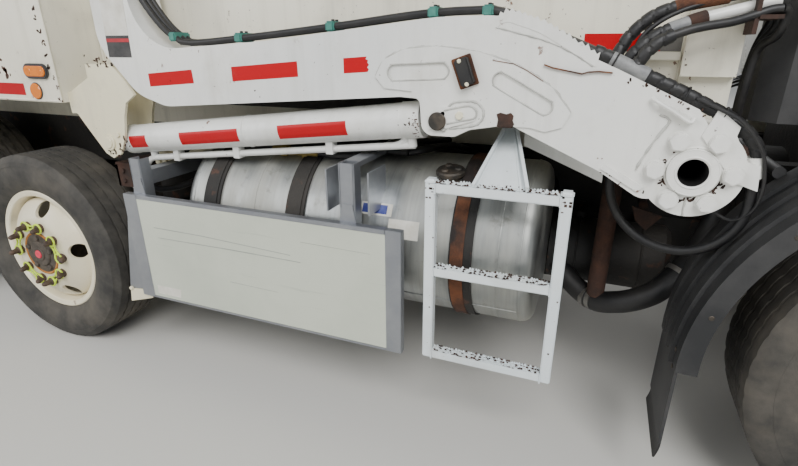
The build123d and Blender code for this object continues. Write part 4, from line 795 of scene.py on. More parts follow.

# Hoses to the arm: three sleeved hoses come down from steel pipes on the hopper's corner post, bend over and
# dive behind the arm's edge. The real hoses flex when the arms swing; here they hold one pose, turning
# smoothly from the truck to the arm, on no moving body.
# Each hose: its route, then its stretches as first and last point, radius, ridge of the sleeve and finish.
swing_hoses = (
    ("a", [(2.94, -1.03, 1.556), (2.88, -1.04, 1.545), (2.81, -1.06, 1.531), (2.749, -1.075, 1.52),
           (2.691, -1.085, 1.506), (2.643, -1.092, 1.483), (2.601, -1.1, 1.441), (2.58, -1.108, 1.403),
           (2.566, -1.116, 1.375)],
     ((4.3, 8, 0.015, 0.0026, hose_sleeve), (2.2, 4.4, 0.0178, 0, rust), (0, 2.3, 0.0135, 0, hose_rubber))),
    ("b", [(2.94, -1.06, 1.52), (2.911, -1.062, 1.515), (2.85, -1.075, 1.5), (2.781, -1.092, 1.483),
           (2.743, -1.105, 1.471), (2.685, -1.122, 1.45), (2.651, -1.13, 1.431), (2.618, -1.138, 1.398),
           (2.598, -1.141, 1.366)],
     ((5.2, 8, 0.015, 0.0026, hose_sleeve), (4.3, 5.3, 0.0185, 0, grey_sleeve),
      (3.5, 4.4, 0.02, 0, rust_and_shade_dark), (0, 3.6, 0.015, 0, arm_white))),
    ("c", [(2.94, -1.098, 1.5), (2.916, -1.098, 1.497), (2.877, -1.105, 1.484), (2.832, -1.12, 1.47),
           (2.775, -1.138, 1.46), (2.727, -1.152, 1.448), (2.673, -1.165, 1.424), (2.641, -1.17, 1.393),
           (2.622, -1.168, 1.358)],
     ((5.4, 8, 0.015, 0.0026, hose_sleeve), (0, 5.5, 0.0115, 0, hose_rubber))),
    ("d", [(2.945, -1.05, 1.56), (2.862, -1.062, 1.548), (2.78, -1.078, 1.522), (2.716, -1.095, 1.5),
           (2.668, -1.105, 1.474), (2.63, -1.112, 1.436), (2.612, -1.12, 1.385)],
     ((0, 6, 0.0065, 0, hose_rubber),)))
for letter, route, stretches in swing_hoses:
    line = through(route, 0.0045)
    share = len(line) / (len(route) - 1)
    for number, (first, last, radius, ridge, finish) in enumerate(stretches):
        form = bmesh.new()
        tube(form, line[int(first * share):min(len(line), int(last * share) + 1)], radius, 18, ridge, 0.036)
        length = new_piece("swing_hose_" + letter + "_" + str(number + 1), form, None, finish, 25)
        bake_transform(length)
form = bmesh.new()
for y, z in ((-1.03, 1.556), (-1.06, 1.52), (-1.098, 1.5)):
    drop = (y + 1.03) * 0.4
    pipe(form, [(2.938, y, z), (2.954, y + 0.012, z - 0.008), (2.952, y + 0.04, z - 0.06),
                (2.93, -0.965 + drop, 1.4), (2.926, -0.94 + drop, 1.28), (2.94, -0.86 + drop, 1.12),
                (2.95, -0.7 + drop, 1.01), (2.94, -0.52, 0.95 - drop), (2.93, -0.432, 0.93 - drop)], 0.015,
         0.0115, 14)
new_piece("supply_pipes", form, "root", hose_rubber)
form = bmesh.new()
box(form, (2.888, 2.944), (-1.112, -0.975), (1.476, 1.486))
box(form, (2.882, 2.892), (-1.112, -0.975), (1.44, 1.59))
box(form, (2.888, 2.968), (-1.06, -0.93), (1.12, 1.132))
box(form, (2.88, 2.892), (-1.06, -0.93), (1.08, 1.19))
new_piece("pipe_brackets", form, "root", rust_and_shade_dark)

# Tyres: steel-belted truck tyres. The road pair and the pusher pair have straight ribs with fine cross
# slits, the drive tyres have blocks. The rubber is black under dust that is thickest in the grooves.
rubber, tree, shader, place = new_finish("tyre_rubber_dusty", 0.78)
painted(tree, shader, "#2A2927", ("#57534C", patches(tree, place, 0.06, 0.35, 0.75, detail=8), 0.8),
        ("#6E665A", patches(tree, place, 0.22, 0.52, 0.7), 0.45))
raised(tree, shader, patches(tree, place, 0.002, 0.3, 0.7, detail=3.0), 0.0002)

rim_seat = 0.289
rim_flange = 0.3035
rim_half = 0.115
tyre_steps = 192
tread_ribs = 5
dual_offset = 0.16


def turned(form, outline, centre, side=1, steps=96, swell=None):
    """Turns a closed outline of (radius, distance out) round an axle. swell adds to a corner's radius."""
    rings = []
    for step in range(steps):
        angle = 2 * pi * step / steps
        rings.append([])
        for corner, (radius, out) in enumerate(outline):
            radius += swell(corner, step) if swell else 0
            rings[-1].append(form.verts.new((centre[0] + radius * cos(angle), centre[1] + side * out,
                                             centre[2] + radius * sin(angle))))
    skinned(form, rings, closed=True)


def tyre_outline(radius, width, ribs, groove, depth):
    """Section of a tyre from bead to bead over the tread: (radius, distance out, kind of point)."""
    half = width / 2
    bead = rim_half - 0.013
    foot = rim_flange + 0.022
    rise = radius - foot
    wall = [(rim_seat + 0.0005, bead - 0.02), (rim_seat + 0.0005, bead), (rim_flange + 0.001, bead),
            (rim_flange + 0.002, bead + 0.014), (rim_flange + 0.014, bead + 0.02), (foot, bead + 0.026)]
    wall += [(foot + rise * part, half * out) for part, out in (
        (0.16, 0.955), (0.3, 0.988), (0.45, 1), (0.6, 0.992), (0.66, 0.984), (0.665, 0.996), (0.8, 0.972))]
    wall += [(radius - 0.02, half - 0.013), (radius - 0.008, half - 0.02)]
    tread_half = half - 0.026
    crown = []
    pitch = 2 * tread_half / ribs
    for rib in range(ribs):
        far = tread_half - rib * pitch
        near = far - pitch
        if rib > 0:
            crown.append((radius - depth, far - groove * 0.32, "floor"))
            crown.append((radius, far - groove * 0.5, "edge"))
        else:
            crown.append((radius - 0.0015, far, "shoulder"))
        crown.append((radius, (far + near) / 2, "middle"))
        if rib < ribs - 1:
            crown.append((radius, near + groove * 0.5, "edge"))
            crown.append((radius - depth, near + groove * 0.32, "floor"))
        else:
            crown.append((radius - 0.0015, near, "shoulder"))
    return [(r, y, "wall") for r, y in wall] + crown + [(r, -y, "wall") for r, y in reversed(wall)]


def tyre(name, node, body, x, middles, radius, width, blocks):
    """One piece for the tyre or the pair that a CAD node holds. blocks cuts the ribs across."""
    depth = 0.017 if blocks else 0.011
    groove = 0.013 if blocks else 0.01
    points = tyre_outline(radius, width, tread_ribs, groove, depth)
    kinds = [kind for _, _, kind in points]
    shoulder_ends = [index for index, kind in enumerate(kinds) if kind == "shoulder"]

    def swell(index, step):
        kind = kinds[index]
        if blocks:
            cut = step % 6 == (0 if index % 2 else 3)
            if cut and kind in ("edge", "middle", "shoulder"):
                return -0.011
            if cut and index in (shoulder_ends[0] - 1, shoulder_ends[-1] + 1):
                return -0.01
            return 0.0
        if kind == "edge" and step % 4 == 0:
            return -0.004
        if kind == "shoulder" and step % 4 == 0:
            return -0.003
        return 0.0

    form = bmesh.new()
    for middle in middles:
        turned(form, [(r, out) for r, out, _ in points], (x, middle, radius), steps=tyre_steps, swell=swell)
    piece = new_piece(name, form, body, rubber, 28)
    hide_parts(node)


def middle_of(node):
    """The middle of a CAD node's box."""
    low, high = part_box(node)
    return (low + high) / 2


both_sides = (("left", 1), ("right", -1))
for side_name, side in both_sides:
    for axle, width in (("steer", 0.315), ("pusher", 0.29)):
        node = axle + "_tyre_" + side_name
        middle = middle_of(node)
        tyre(node + "_tread", node, axle + "_" + side_name, middle.x, [middle.y], middle.z, width, False)
    for axle in ("front", "rear"):
        node = "drive_tyres_" + axle + "_" + side_name
        middle = middle_of(node)
        tyre(node + "_tread", node, "drive_" + axle + "_" + side_name, middle.x,
             [middle.y - dual_offset, middle.y + dual_offset], middle.z, 0.28, True)

# Wheels: pressed steel discs in cream enamel on a ten-stud circle. Each nut wears a long dark cover, and on
# the two single axles yellow-green rings join neighbours, so that a nut that turns shows. Rust has crept from
# the hub, whose oil cap has a red plug.
coat(wheel_cream, *[name for name in cad if "drive_wheels" in name])
nut_brown = plain_finish("nut_cover_brown", "#3A2E26", "#6A5444", 0.012, 0.6, bump=0.0006)
hub_iron = plain_finish("hub_iron_dusty", "#46403A", "#6B6156", 0.02, 0.75, 0.3, bump=0.0008)
rust_orange = plain_finish("rust_bleeding", "#9C5E26", "#C98F4E", 0.015, 0.85, bump=0.0008)
indicator_green = plain_finish("indicator_plastic_fluorescent", "#D3F23A", "#9FB43A", 0.012, 0.5, bump=0.0002)
plug_red = plain_finish("plug_plastic_red", "#E2304E", "#B02038", 0.01, 0.4, bump=0.0001)
stud_circle = 0.1429
dished_face = 0.15


def dished_wheel(name, centre, side):
    """One steel wheel with its dished disc proud of the rim and five hand holes on the slope."""
    form = bmesh.new()
    turned(form, [(0.275, -0.108), (0.279, -0.113), (0.2985, -0.1155), (0.3035, -0.1135), (0.3035, -0.103),
                  (0.289, -0.1025), (0.289, 0.1025), (0.3035, 0.103), (0.3035, 0.1135), (0.2985, 0.1165),
                  (0.279, 0.113), (0.275, 0.108), (0.272, 0.08), (0.262, 0.06), (0.262, -0.03),
                  (0.272, -0.06)], centre, side)
    turned(form, [(0.06, 0.15), (0.158, 0.15), (0.172, 0.1475), (0.186, 0.142), (0.205, 0.13),
                  (0.228, 0.112), (0.248, 0.094), (0.259, 0.078), (0.2625, 0.05), (0.2525, 0.05),
                  (0.249, 0.074), (0.24, 0.087), (0.221, 0.103), (0.199, 0.12), (0.181, 0.1315),
                  (0.169, 0.137), (0.156, 0.1395), (0.06, 0.1395)], centre, side)
    cut = bmesh.new()
    for place in around((centre[0], centre[1] + side * 0.02, centre[2]), 0.219, 5, radians(80)):
        disc(cut, place, (0, side, 0), 0.036, 0.16, 32)
    for part in (form, cut):
        bmesh.ops.recalc_face_normals(part, faces=part.faces)
    whole = placed(name, as_mesh(name, form))
    cutter = placed("hand_holes", as_mesh("hand_holes", cut))
    trim = whole.modifiers.new("hand_holes", "BOOLEAN")
    trim.operation = "DIFFERENCE"
    trim.object = cutter
    done = applied(whole)
    bpy.data.objects.remove(whole)
    bpy.data.objects.remove(cutter)
    form = bmesh.new()
    form.from_mesh(done)
    bpy.data.meshes.remove(done)
    return finished_mesh(name, form, 30)


cover = bmesh.new()
cover_outline = ((0.0215, 0), (0.0215, 0.016), (0.0195, 0.021), (0.0145, 0.025), (0.0128, 0.04),
                 (0.012, 0.054), (0.009, 0.061), (0.004, 0.064))
skinned(cover, [[cover.verts.new((reach * cos(pi * corner / 6), reach * sin(pi * corner / 6), out))
                 for corner in range(12)] for reach, out in cover_outline])
cover_mesh = finished_mesh("nut_cover", cover, 40)
random = Random(5)
for side_name, side in both_sides:
    for node, body, middle, dished in (("pusher_wheel_", "pusher_", 1.156, True),
                                       ("steer_wheel_", "steer_", 1.112, True),
                                       ("drive_wheels_front_", "drive_front_", 0.92, False),
                                       ("drive_wheels_rear_", "drive_rear_", 0.92, False)):
        name = node + side_name
        body = body + side_name
        low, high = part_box(name)
        x, _, z = (low + high) / 2
        out_axis = (0, side, 0)
        face = side * (middle + (dished_face if dished else 0.012))
        nuts = around((x, face, z), stud_circle, 10)
        repeated(name + "_nuts", cover_mesh.copy(),
                 [(place, (radians(-90 * side), 0, random.uniform(0, 1)), (1, 1, 1)) for place in nuts],
                 nut_brown, body)
        hub = bmesh.new()
        if not dished:
            disc(hub, (x, face + side * 0.16, z), out_axis, 0.0975, 0.018, 48, 0.006)
            disc(hub, (x, face + side * 0.176, z), out_axis, 0.06, 0.014, 48, 0.005)
            for place in around((x, face + side * 0.175, z), 0.078, 8):
                disc(hub, place, out_axis, 0.01, 0.012, 6, 0.001)
            new_piece(name + "_hub", hub, body, hub_iron)
            continue
        inner_reach = min(abs(low.y), abs(high.y)) - middle
        centre = (x, side * middle, z)
        wheel = new_piece(name + "_dished", dished_wheel(name, centre, side), body, wheel_cream)
        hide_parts(name)
        turned(hub, [(0.0625, inner_reach), (0.096, inner_reach), (0.096, 0.138), (0.098, 0.1385),
                     (0.098, 0.1525), (0.09, 0.1545), (0.0625, 0.1545)], centre, side, 64)
        disc(hub, (x, face + side * 0.001, z), out_axis, 0.064, 0.01, 48, 0.004)
        disc(hub, (x, face + side * 0.008, z), out_axis, 0.034, 0.008, 36, 0.003)
        for place in around((x, face + side * 0.003, z), 0.079, 5, 0.3):
            disc(hub, place, out_axis, 0.013, 0.012, 16, 0.003)
        new_piece(name + "_hub", hub, body, hub_iron)
        form = bmesh.new()
        ring(form, (x, face + side * 0.0005, z), out_axis, 0.1035, 0.006, 64)
        new_piece(name + "_rust", form, body, rust_orange, 60)
        form = bmesh.new()
        disc(form, (x, face + side * 0.013, z), out_axis, 0.0205, 0.008, 28, 0.003)
        new_piece(name + "_plug", form, body, plug_red)
        form = bmesh.new()
        rings_out = Vector((0, side * 0.017, 0))
        for turn in range(10):
            here = Vector(nuts[turn]) + rings_out
            ring(form, here, out_axis, 0.0232, 0.0042, 24)
            if turn % 2:
                continue
            there = Vector(nuts[turn + 1]) + rings_out
            across = (there - here).normalized().cross(Vector(out_axis))
            for shift in (-1, 1):
                off = across * 0.0225 * shift
                between = (here + there) / 2 + across * 0.008 * shift - Vector((0, side * 0.001, 0))
                pipe(form, [here + off, between, there + off], 0.008, 0.0042, 8)
        new_piece(name + "_indicators", form, body, indicator_green, 60)

# Fuel tank: rolled aluminium with welded ends, brushed round its girth and clouded by washing. Three steel
# straps hold it, one gone to rust, and the filler cap sits high on the outside.
tank_middle = Vector((0.0, -0.905, 0.72))
tank_girth = 0.305
tank_alloy, tree, shader, place = new_finish("tank_aluminium_brushed", 0.4, 0.85)
grain = patches(tree, place, 0.006, 0.3, 0.7, stretch=(1, 0.05, 0.05), detail=4.0)
cloud = patches(tree, place, 0.14, 0.4, 0.66, stretch=(1.6, 0.6, 0.6), detail=7.0)
painted(tree, shader, "#A3A6A5", ("#7E8080", grain, 0.55), ("#C4C1B4", cloud, 0.45),
        ("#5A564C", patches(tree, place, 0.03, 0.6, 0.74, detail=9), 0.5))
roughened(tree, shader, cloud, 0.3, 0.62)
raised(tree, shader, grain, 0.00012)
coat(tank_alloy, "fuel_tank")


def on_tank(x, angle, radius):
    """A point on the fuel tank: place along it, angle up from straight outwards, distance off its axis."""
    return Vector((x, tank_middle.y - radius * cos(angle), tank_middle.z + radius * sin(angle)))


form = bmesh.new()
for x in (1.028, 1.33, 2.3, 2.372):
    ring(form, (x, tank_middle.y, tank_middle.z), (1, 0, 0), tank_girth + 0.0004, 0.0022, 120, 6)
tube(form, [on_tank(x, radians(-35), tank_girth) for x in (1.03, 1.3, 1.7, 2.1, 2.37)], 0.003, 8)
new_piece("tank_welds", form, "root", tank_alloy, 60)
for name, xs, angles, thick, finish in (
        ("tank_label_border", (1.79, 1.912), (24.6, 33.2), 0.0005, vinyl_white),
        ("tank_label_blue", (1.797, 1.893), (25.8, 32), 0.001, vinyl_blue),
        ("tank_label_white", (1.905, 2.02), (11, 23.5), 0.0006, vinyl_white)):
    form = bmesh.new()
    wrapped(form, on_tank, xs, angles, tank_girth, thick, 12)
    new_piece(name, form, "root", finish)
strap_rust = plain_finish("strap_steel_rusting", "#241D1A", "#7E4A2A", 0.07, 0.85, bump=0.001, amount=0.85)
for name, bands, finish in (("tank_strap_rusty", ((2.141, 2.186),), strap_rust),
                            ("tank_strap_bands", ((1.099, 1.151), (1.494, 1.546)), chassis_black)):
    form = bmesh.new()
    for xs in bands:
        wrapped(form, on_tank, xs, (-150, 100), tank_girth + 0.0095, 0.0016, 48)
    new_piece(name, form, "root", finish)
cap_angle = radians(60)
cap_axis = Vector((0, -cos(radians(80)), sin(radians(80))))
form = bmesh.new()
disc(form, on_tank(2.092, cap_angle, tank_girth - 0.04), cap_axis, 0.046, 0.058, 40, 0.004)
cap_foot = on_tank(2.092, cap_angle, tank_girth + 0.012)
disc(form, cap_foot, cap_axis, 0.052, 0.016, 40, 0.005)
for turn in range(3):
    angle = turn * 2 * pi / 3
    across = Vector((cos(angle), 0, 0)) + cap_axis.cross(Vector((1, 0, 0))) * sin(angle)
    disc(form, cap_foot + cap_axis * 0.014 + across * 0.028, cap_axis, 0.014, 0.01, 16, 0.004)
new_piece("tank_cap", form, "root", bare_steel)

# Side guard: an extruded aluminium frame round a flat grey-green sheet, on two square posts. Bins have
# scraped the sheet, and a blank sticker is left in its corner.
guard_alloy = plain_finish("guard_aluminium_extruded", "#8F9298", "#A9ABAE", 0.1, 0.38, 0.8, bump=0.00015)
guard_sheet, tree, shader, place = new_finish("guard_sheet_painted", 0.42)
cloud = patches(tree, place, 0.25, 0.4, 0.7)
drags = patches(tree, place, 0.012, 0.62, 0.75, stretch=(0.04, 1, 1), detail=5)
painted(tree, shader, "#BFC3B4", ("#A9AEA0", cloud, 0.6), ("#7D8078", drags, 0.5))
raised(tree, shader, cloud, 0.0015)
form = bmesh.new()
guard_rear, guard_front, guard_low, guard_high = 0.745, 1.994, 0.366, 0.84
for xs, zs in (((guard_rear, 0.818), (guard_low, guard_high)),
               ((1.934, guard_front), (guard_low, guard_high)),
               ((0.817, 1.935), (0.822, guard_high)), ((0.817, 1.935), (guard_low, 0.378))):
    box(form, xs, (-1.295, -1.265), zs)
for x, low, high, top, root in ((0.782, 0.872, 0.932, 0.985, 0.4305), (1.754, 1.028, 1.047, 1.047, 0.4255)):
    box(form, (x, x + 0.006), (-1.266, -1.215), (0.406, top))
    box(form, (x + 0.054, x + 0.06), (-1.266, -1.215), (0.406, top))
    box(form, (x + 0.005, x + 0.055), (-1.266, -1.26), (0.406, top))
    box(form, (x, x + 0.06), (-1.216, -root), (low, high))
softened(form, 0.0018)
frame_piece = new_piece("guard_frame", form, "root", guard_alloy)
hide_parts("side_guard")
form = bmesh.new()
box(form, (0.816, 1.936), (-1.2942, -1.2885), (0.377, 0.823))
new_piece("guard_sheet", form, "root", guard_sheet)
form = bmesh.new()
for points in ([(0.885, 0.708), (1.131, 0.706), (1.551, 0.688), (1.551, 0.6855), (1.131, 0.703),
                (0.885, 0.7045)],
               [(0.9, 0.664), (1.273, 0.668), (1.593, 0.666), (1.593, 0.663), (1.273, 0.664), (0.9, 0.6615)],
               [(1.25, 0.523), (1.48, 0.519), (1.48, 0.5178), (1.25, 0.5212)],
               [(1.6, 0.748), (1.88, 0.744), (1.88, 0.7428), (1.6, 0.7464)]):
    plate(form, points, -1.2946, -1.294)
new_piece("guard_scrapes", form, "root", plain_finish("scrape_dark", "#8E928A", "#A4A89E", 0.02, 0.6))
form = bmesh.new()
plate(form, [(0.84, 0.392), (0.968, 0.392), (0.976, 0.432), (0.842, 0.431)], -1.2948, -1.294)
new_piece("guard_sticker", form, "root", vinyl_white)
form = bmesh.new()
plate(form, [(0.76, 0.79), (0.722, 0.79), (0.699, 0.689), (0.629, 0.364), (0.76, 0.38)], -1.264, -1.26)
new_piece("guard_return", form, "root", guard_alloy)
form = bmesh.new()
plate(form, [(0.76, 0.378), (0.631, 0.362), (0.619, 0.293), (0.76, 0.336)], -1.2655, -1.261)
disc(form, (0.64, -1.262, 0.366), (0, -1, 0), 0.009, 0.012, 6, 0.001)
new_piece("guard_return_foot", form, "root", bracket_cream)
form = bmesh.new()
for x in (0.812, 1.784):
    for z in (0.6, 0.78):
        disc(form, (x - 0.029, -1.24, z), (-1, 0, 0), 0.01, 0.01, 6, 0.001)
        disc(form, (x + 0.029, -1.24, z), (1, 0, 0), 0.01, 0.01, 6, 0.001)
new_piece("guard_bolts", form, "root", bare_steel)
form = bmesh.new()
for x in (0.782, 1.754):
    outline = [(x - 0.002, 0.838), (x + 0.062, 0.838), (x + 0.05, 0.905), (x + 0.01, 0.905)]
    plate(form, outline, -1.2685, -1.2655)
for x in (1.7, 1.86):
    box(form, (x, x + 0.006), (-1.262, -1.12), (0.87, 1.02))
new_piece("guard_gussets", form, "root", guard_alloy)

# Access step: white square tube, its rungs topped with serrated strip that boots have worn to dark steel. It
# hangs from a folded gusset whose rusty tab laps the arm's lower edge.
tooth = bmesh.new()
plate(tooth, [(-0.0042, 0), (0.0042, 0), (0.001, 0.0062), (-0.0022, 0.0055)], -0.0016, 0.0016)
tooth_mesh = finished_mesh("rung_tooth", tooth)
random = Random(19)
rung_tops = (0.415, 0.734, 1.02)
rung_low, rung_high = 2.112, 2.474
step_posts = (2.091, 2.496)
teeth = []
worn = []
for top in rung_tops:
    for row in (-1.2925, -1.279, -1.265):
        for step in range(42):
            x = rung_low + 0.0088 * step + random.uniform(-0.0015, 0.0015)
            if x > rung_high:
                continue
            size = (1, 1, random.uniform(0.5, 1.15))
            place = ((x, row, top - 0.0005), (0, 0, random.uniform(-0.2, 0.2)), size)
            (worn if random.random() < 0.34 else teeth).append(place)
repeated("rung_teeth", tooth_mesh, teeth, step_white, "root")
repeated("rung_teeth_worn", tooth_mesh.copy(), worn, rust_and_shade_dark, "root")
form = bmesh.new()
for top in rung_tops:
    for _ in range(60):
        x = random.uniform(rung_low, rung_high)
        y = random.choice((-1.2945, -1.287, -1.272, -1.262)) + random.uniform(-0.002, 0.002)
        size = random.uniform(0.0015, 0.005)
        low = top - 0.0008
        box(form, (x - size, x + size * random.uniform(0.5, 2.0)), (y - size * 0.5, y + size * 0.5),
            (low, low + 0.0014))
for x in step_posts:
    for _ in range(14):
        z = random.choice((1.014, 1.0, 0.99, 0.97, random.uniform(0.45, 0.95)))
        size = random.uniform(0.0008, 0.003)
        spot = x + random.uniform(-0.014, 0.014)
        box(form, (spot - size * 1.3, spot + size * 1.3), (-1.2956, -1.2946), (z - size, z + size * 1.6))
new_piece("step_wear", form, "root", rust_and_shade_dark)
form = bmesh.new()
for x in step_posts:
    box(form, (x - 0.0185, x + 0.0185), (-1.2965, -1.2595), (1.012, 1.03))
softened(form, 0.006, 3)
for x in step_posts:
    for z in rung_tops:
        seam = x + (0.016 if x < 2.3 else -0.016)
        pipe(form, [(seam, -1.2955, z - 0.036), (seam, -1.2955, z - 0.004)], 0.01, 0.003, 8)
new_piece("step_caps", form, "root", step_white)
form = bmesh.new()
foot = Vector((0.0, -1.281, 1.008))
rise = Vector((0.0, 0.872, 0.49))
out_of = Vector((0.0, -0.49, 0.872))


def leaning(form, corners, low, high):
    """A plate on the gusset's plane: corners are (X, run up the slope), heights are off the plane."""
    skinned(form, [[form.verts.new(Vector((x, 0, 0)) + foot + rise * run + out_of * off)
                    for x, run in corners] for off in (low, high)])


for x in (2.074, 2.479):
    box(form, (x, x + 0.034), (-1.295, -1.261), (0.381, 1.02))
for z in (0.381, 0.7, 0.986):
    box(form, (2.107, 2.48), (-1.295, -1.261), (z, z + 0.034))
    box(form, (2.076, 2.511), (-1.262, -1.231), (z, z + 0.01))
box(form, (2.262, 2.304), (-1.0, -0.9), (1.15, 1.1855))
softened(form, 0.0035)
leaning(form, [(2.226, 0.0), (2.388, 0.0), (2.292, 0.325), (2.27, 0.325)], 0.0, 0.006)
leaning(form, [(2.22, 0.0), (2.23, 0.0), (2.276, 0.325), (2.266, 0.325)], 0.004, 0.02)
leaning(form, [(2.38, 0.0), (2.39, 0.0), (2.296, 0.325), (2.286, 0.325)], 0.004, 0.03)
leaning(form, [(2.364, 0.0), (2.37, 0.0), (2.286, 0.325), (2.28, 0.325)], 0.004, 0.01)
step_frame = new_piece("step_frame", form, "root", step_white)
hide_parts("access_step")
form = bmesh.new()
patch = [(2.266, 1.186), (2.268, 1.206), (2.263, 1.222), (2.274, 1.227), (2.292, 1.223), (2.305, 1.228),
         (2.314, 1.219), (2.312, 1.205), (2.317, 1.195), (2.313, 1.186)]
plate(form, patch, -1.1952, -1.1925)
box(form, (2.268, 2.311), (-1.194, -1.15), (1.183, 1.1875))
new_piece("arm_rest_rub", form, "arms", rust_and_shade_dark)

# Steer fenders: moulded black polyethylene arcs over the front wheels, dusty on top. Each is riveted to a
# rubber mud flap whose lower edge curls back.
moulded_black, tree, shader, place = new_finish("polyethylene_moulded_black", 0.55)
painted(tree, shader, "#1C1D1F", ("#4C4B4A", patches(tree, place, 0.12, 0.35, 0.75, detail=7), 0.7))
raised(tree, shader, patches(tree, place, 0.0015, 0.3, 0.7, detail=2.0), 0.00015)
coat(moulded_black, "steer_fenders", "dashboard", "mirrors_and_intake")
fender_middle = Vector((3.57, 0.0, 0.53))
form = bmesh.new()
for y in (-0.975, -1.04, -1.105, -1.17, -1.225):
    for z in (0.5, 0.56):
        disc(form, (2.8575, y, z), (-1, 0, 0), 0.008, 0.004, 12, 0.002)
rivet_arc = 0.68
for angle in (165, 140, 115, 90):
    disc(form, (fender_middle.x + rivet_arc * cos(radians(angle)), -1.268,
                fender_middle.z + rivet_arc * sin(radians(angle))), (0, -1, 0), 0.008, 0.009, 12, 0.002)
and_left(form)
new_piece("fender_rivets", form, "root", bare_steel)
form = bmesh.new()
for side in (-1, 1):
    rows = []
    for step in range(17):
        down = step / 16
        rows.append([form.verts.new((2.8625 - 0.01 * down ** 2 + deep, side * y, 0.23 - 0.06 * down))
                     for deep, y in ((0, 0.952), (0, 1.258), (0.006, 1.258), (0.006, 0.952))])
    skinned(form, rows)
new_piece("mud_flap_edges", form, "root", hose_rubber)

# Lamps: amber marker lamps in rubber grommets, round reflectors, roof lamps, twin headlamps in black bezels
# and round tail lamps in a steel box. Lenses are moulded acrylic with small prisms.


def lens_finish(name, colour, dark):
    """Moulded acrylic over prisms: glossy, with a fine cell pattern."""
    material, tree, shader, place = new_finish(name, 0.12)
    shader.inputs["Coat Weight"].default_value = 0.6
    cells = add_node(tree, "ShaderNodeTexVoronoi", {"Vector": place, "Scale": 220.0, "Randomness": 0.1})
    painted(tree, shader, colour, (dark, cells.outputs["Distance"], 0.8))
    raised(tree, shader, cells.outputs["Distance"], 0.0006)
    return material


lens_amber = lens_finish("lens_acrylic_amber", "#F58C1C", "#B85808")
lens_red = lens_finish("lens_acrylic_red", "#C81A22", "#7A0C12")
lens_clear = lens_finish("lens_acrylic_clear", "#DADEDF", "#8F979A")
lamp_chrome = plain_finish("lamp_reflector_plated", "#C6C8CA", "#9A9DA0", 0.05, 0.15, 1.0, bump=0.00005)


def stadium(middle, long, high, steps=12):
    """Corners (X, Z) of a flat slot shape."""
    radius = high / 2
    corners = []
    for centre, start in ((long / 2 - radius, -pi / 2), (-long / 2 + radius, pi / 2)):
        for step in range(steps + 1):
            angle = start + pi * step / steps
            corners.append((middle[0] + centre + radius * cos(angle), middle[1] + radius * sin(angle)))
    return corners


marker = (0.293, 1.314)
roof_lamps = (-0.95, -0.16, 0, 0.16, 0.95)
head_x, head_z, head_lamps = 4.848, 0.77, (0.868, 1.02)
tail_x, tail_z, tail_lamps = -4.19, 1.085, (0.765, 0.925, 1.085)
form = bmesh.new()
plate(form, stadium(marker, 0.15, 0.062), -1.232, -1.2203)
softened(form, 0.003)
disc(form, (0.26, -1.2203, 1.231), (0, -1, 0), 0.036, 0.004, 36, 0.001)
and_left(form)
for y in roof_lamps:
    box(form, (4.09, 4.15), (y - 0.06, y + 0.06), (2.9303, 2.94))
for side in (-1, 1):
    box(form, (4.8203, 4.846), (side * 0.781, side * 1.119), (0.691, 0.849))
    box(form, (-4.19, -4.14), (side * 0.7, side * 1.15), (1.02, 1.15))
    box(form, (-4.141, -4.0003), (side * 0.37, side * 0.72), (1.04, 1.1))
    for y in head_lamps:
        ring(form, (head_x, side * y, head_z), (1, 0, 0), 0.07, 0.0075, 40)
    for y in tail_lamps:
        ring(form, (tail_x, side * y, tail_z), (1, 0, 0), 0.05, 0.006, 36)
housings = new_piece("lamp_housings", form, "root", moulded_black)
form = bmesh.new()
plate(form, stadium(marker, 0.13, 0.043), -1.2375, -1.23)
softened(form, 0.003, 3)
for x in (0.258, 0.328):
    disc(form, (x, -1.237, 1.314), (0, -1, 0), 0.014, 0.0014, 24, 0.001)
disc(form, (0.26, -1.224, 1.231), (0, -1, 0), 0.033, 0.005, 36, 0.002)
and_left(form)
for y in roof_lamps:
    dome = bmesh.new()
    box(dome, (4.094, 4.146), (y - 0.056, y + 0.056), (2.938, 2.962))
    softened(dome, 0.011, 4)
    part = as_mesh("dome", dome)
    form.from_mesh(part)
    bpy.data.meshes.remove(part)
for side in (-1, 1):
    box(form, (4.846, 4.858), (side * 1.098, side * 1.117), (0.7, 0.84))
    disc(form, (tail_x, side * tail_lamps[1], tail_z), (-1, 0, 0), 0.046, 0.01, 36, 0.004)
ambers = new_piece("lamp_lenses_amber", form, "root", lens_amber)
form = bmesh.new()
for side in (-1, 1):
    disc(form, (tail_x, side * tail_lamps[2], tail_z), (-1, 0, 0), 0.046, 0.01, 36, 0.004)
reds = new_piece("lamp_lenses_red", form, "root", lens_red)
form = bmesh.new()
for side in (-1, 1):
    for y in head_lamps:
        disc(form, (head_x, side * y, head_z), (1, 0, 0), 0.066, 0.01, 40, 0.005)
    disc(form, (tail_x, side * tail_lamps[0], tail_z), (-1, 0, 0), 0.046, 0.01, 36, 0.004)
clears = new_piece("lamp_lenses_clear", form, "root", lens_clear)
form = bmesh.new()
for side in (-1, 1):
    for y in head_lamps:
        ring(form, (head_x + 0.003, side * y, head_z), (1, 0, 0), 0.0665, 0.0028, 48)
        disc(form, (head_x + 0.008, side * y, head_z), (1, 0, 0), 0.016, 0.0035, 24, 0.001)
rims = new_piece("lamp_rims", form, "root", lamp_chrome)
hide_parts("lamps")

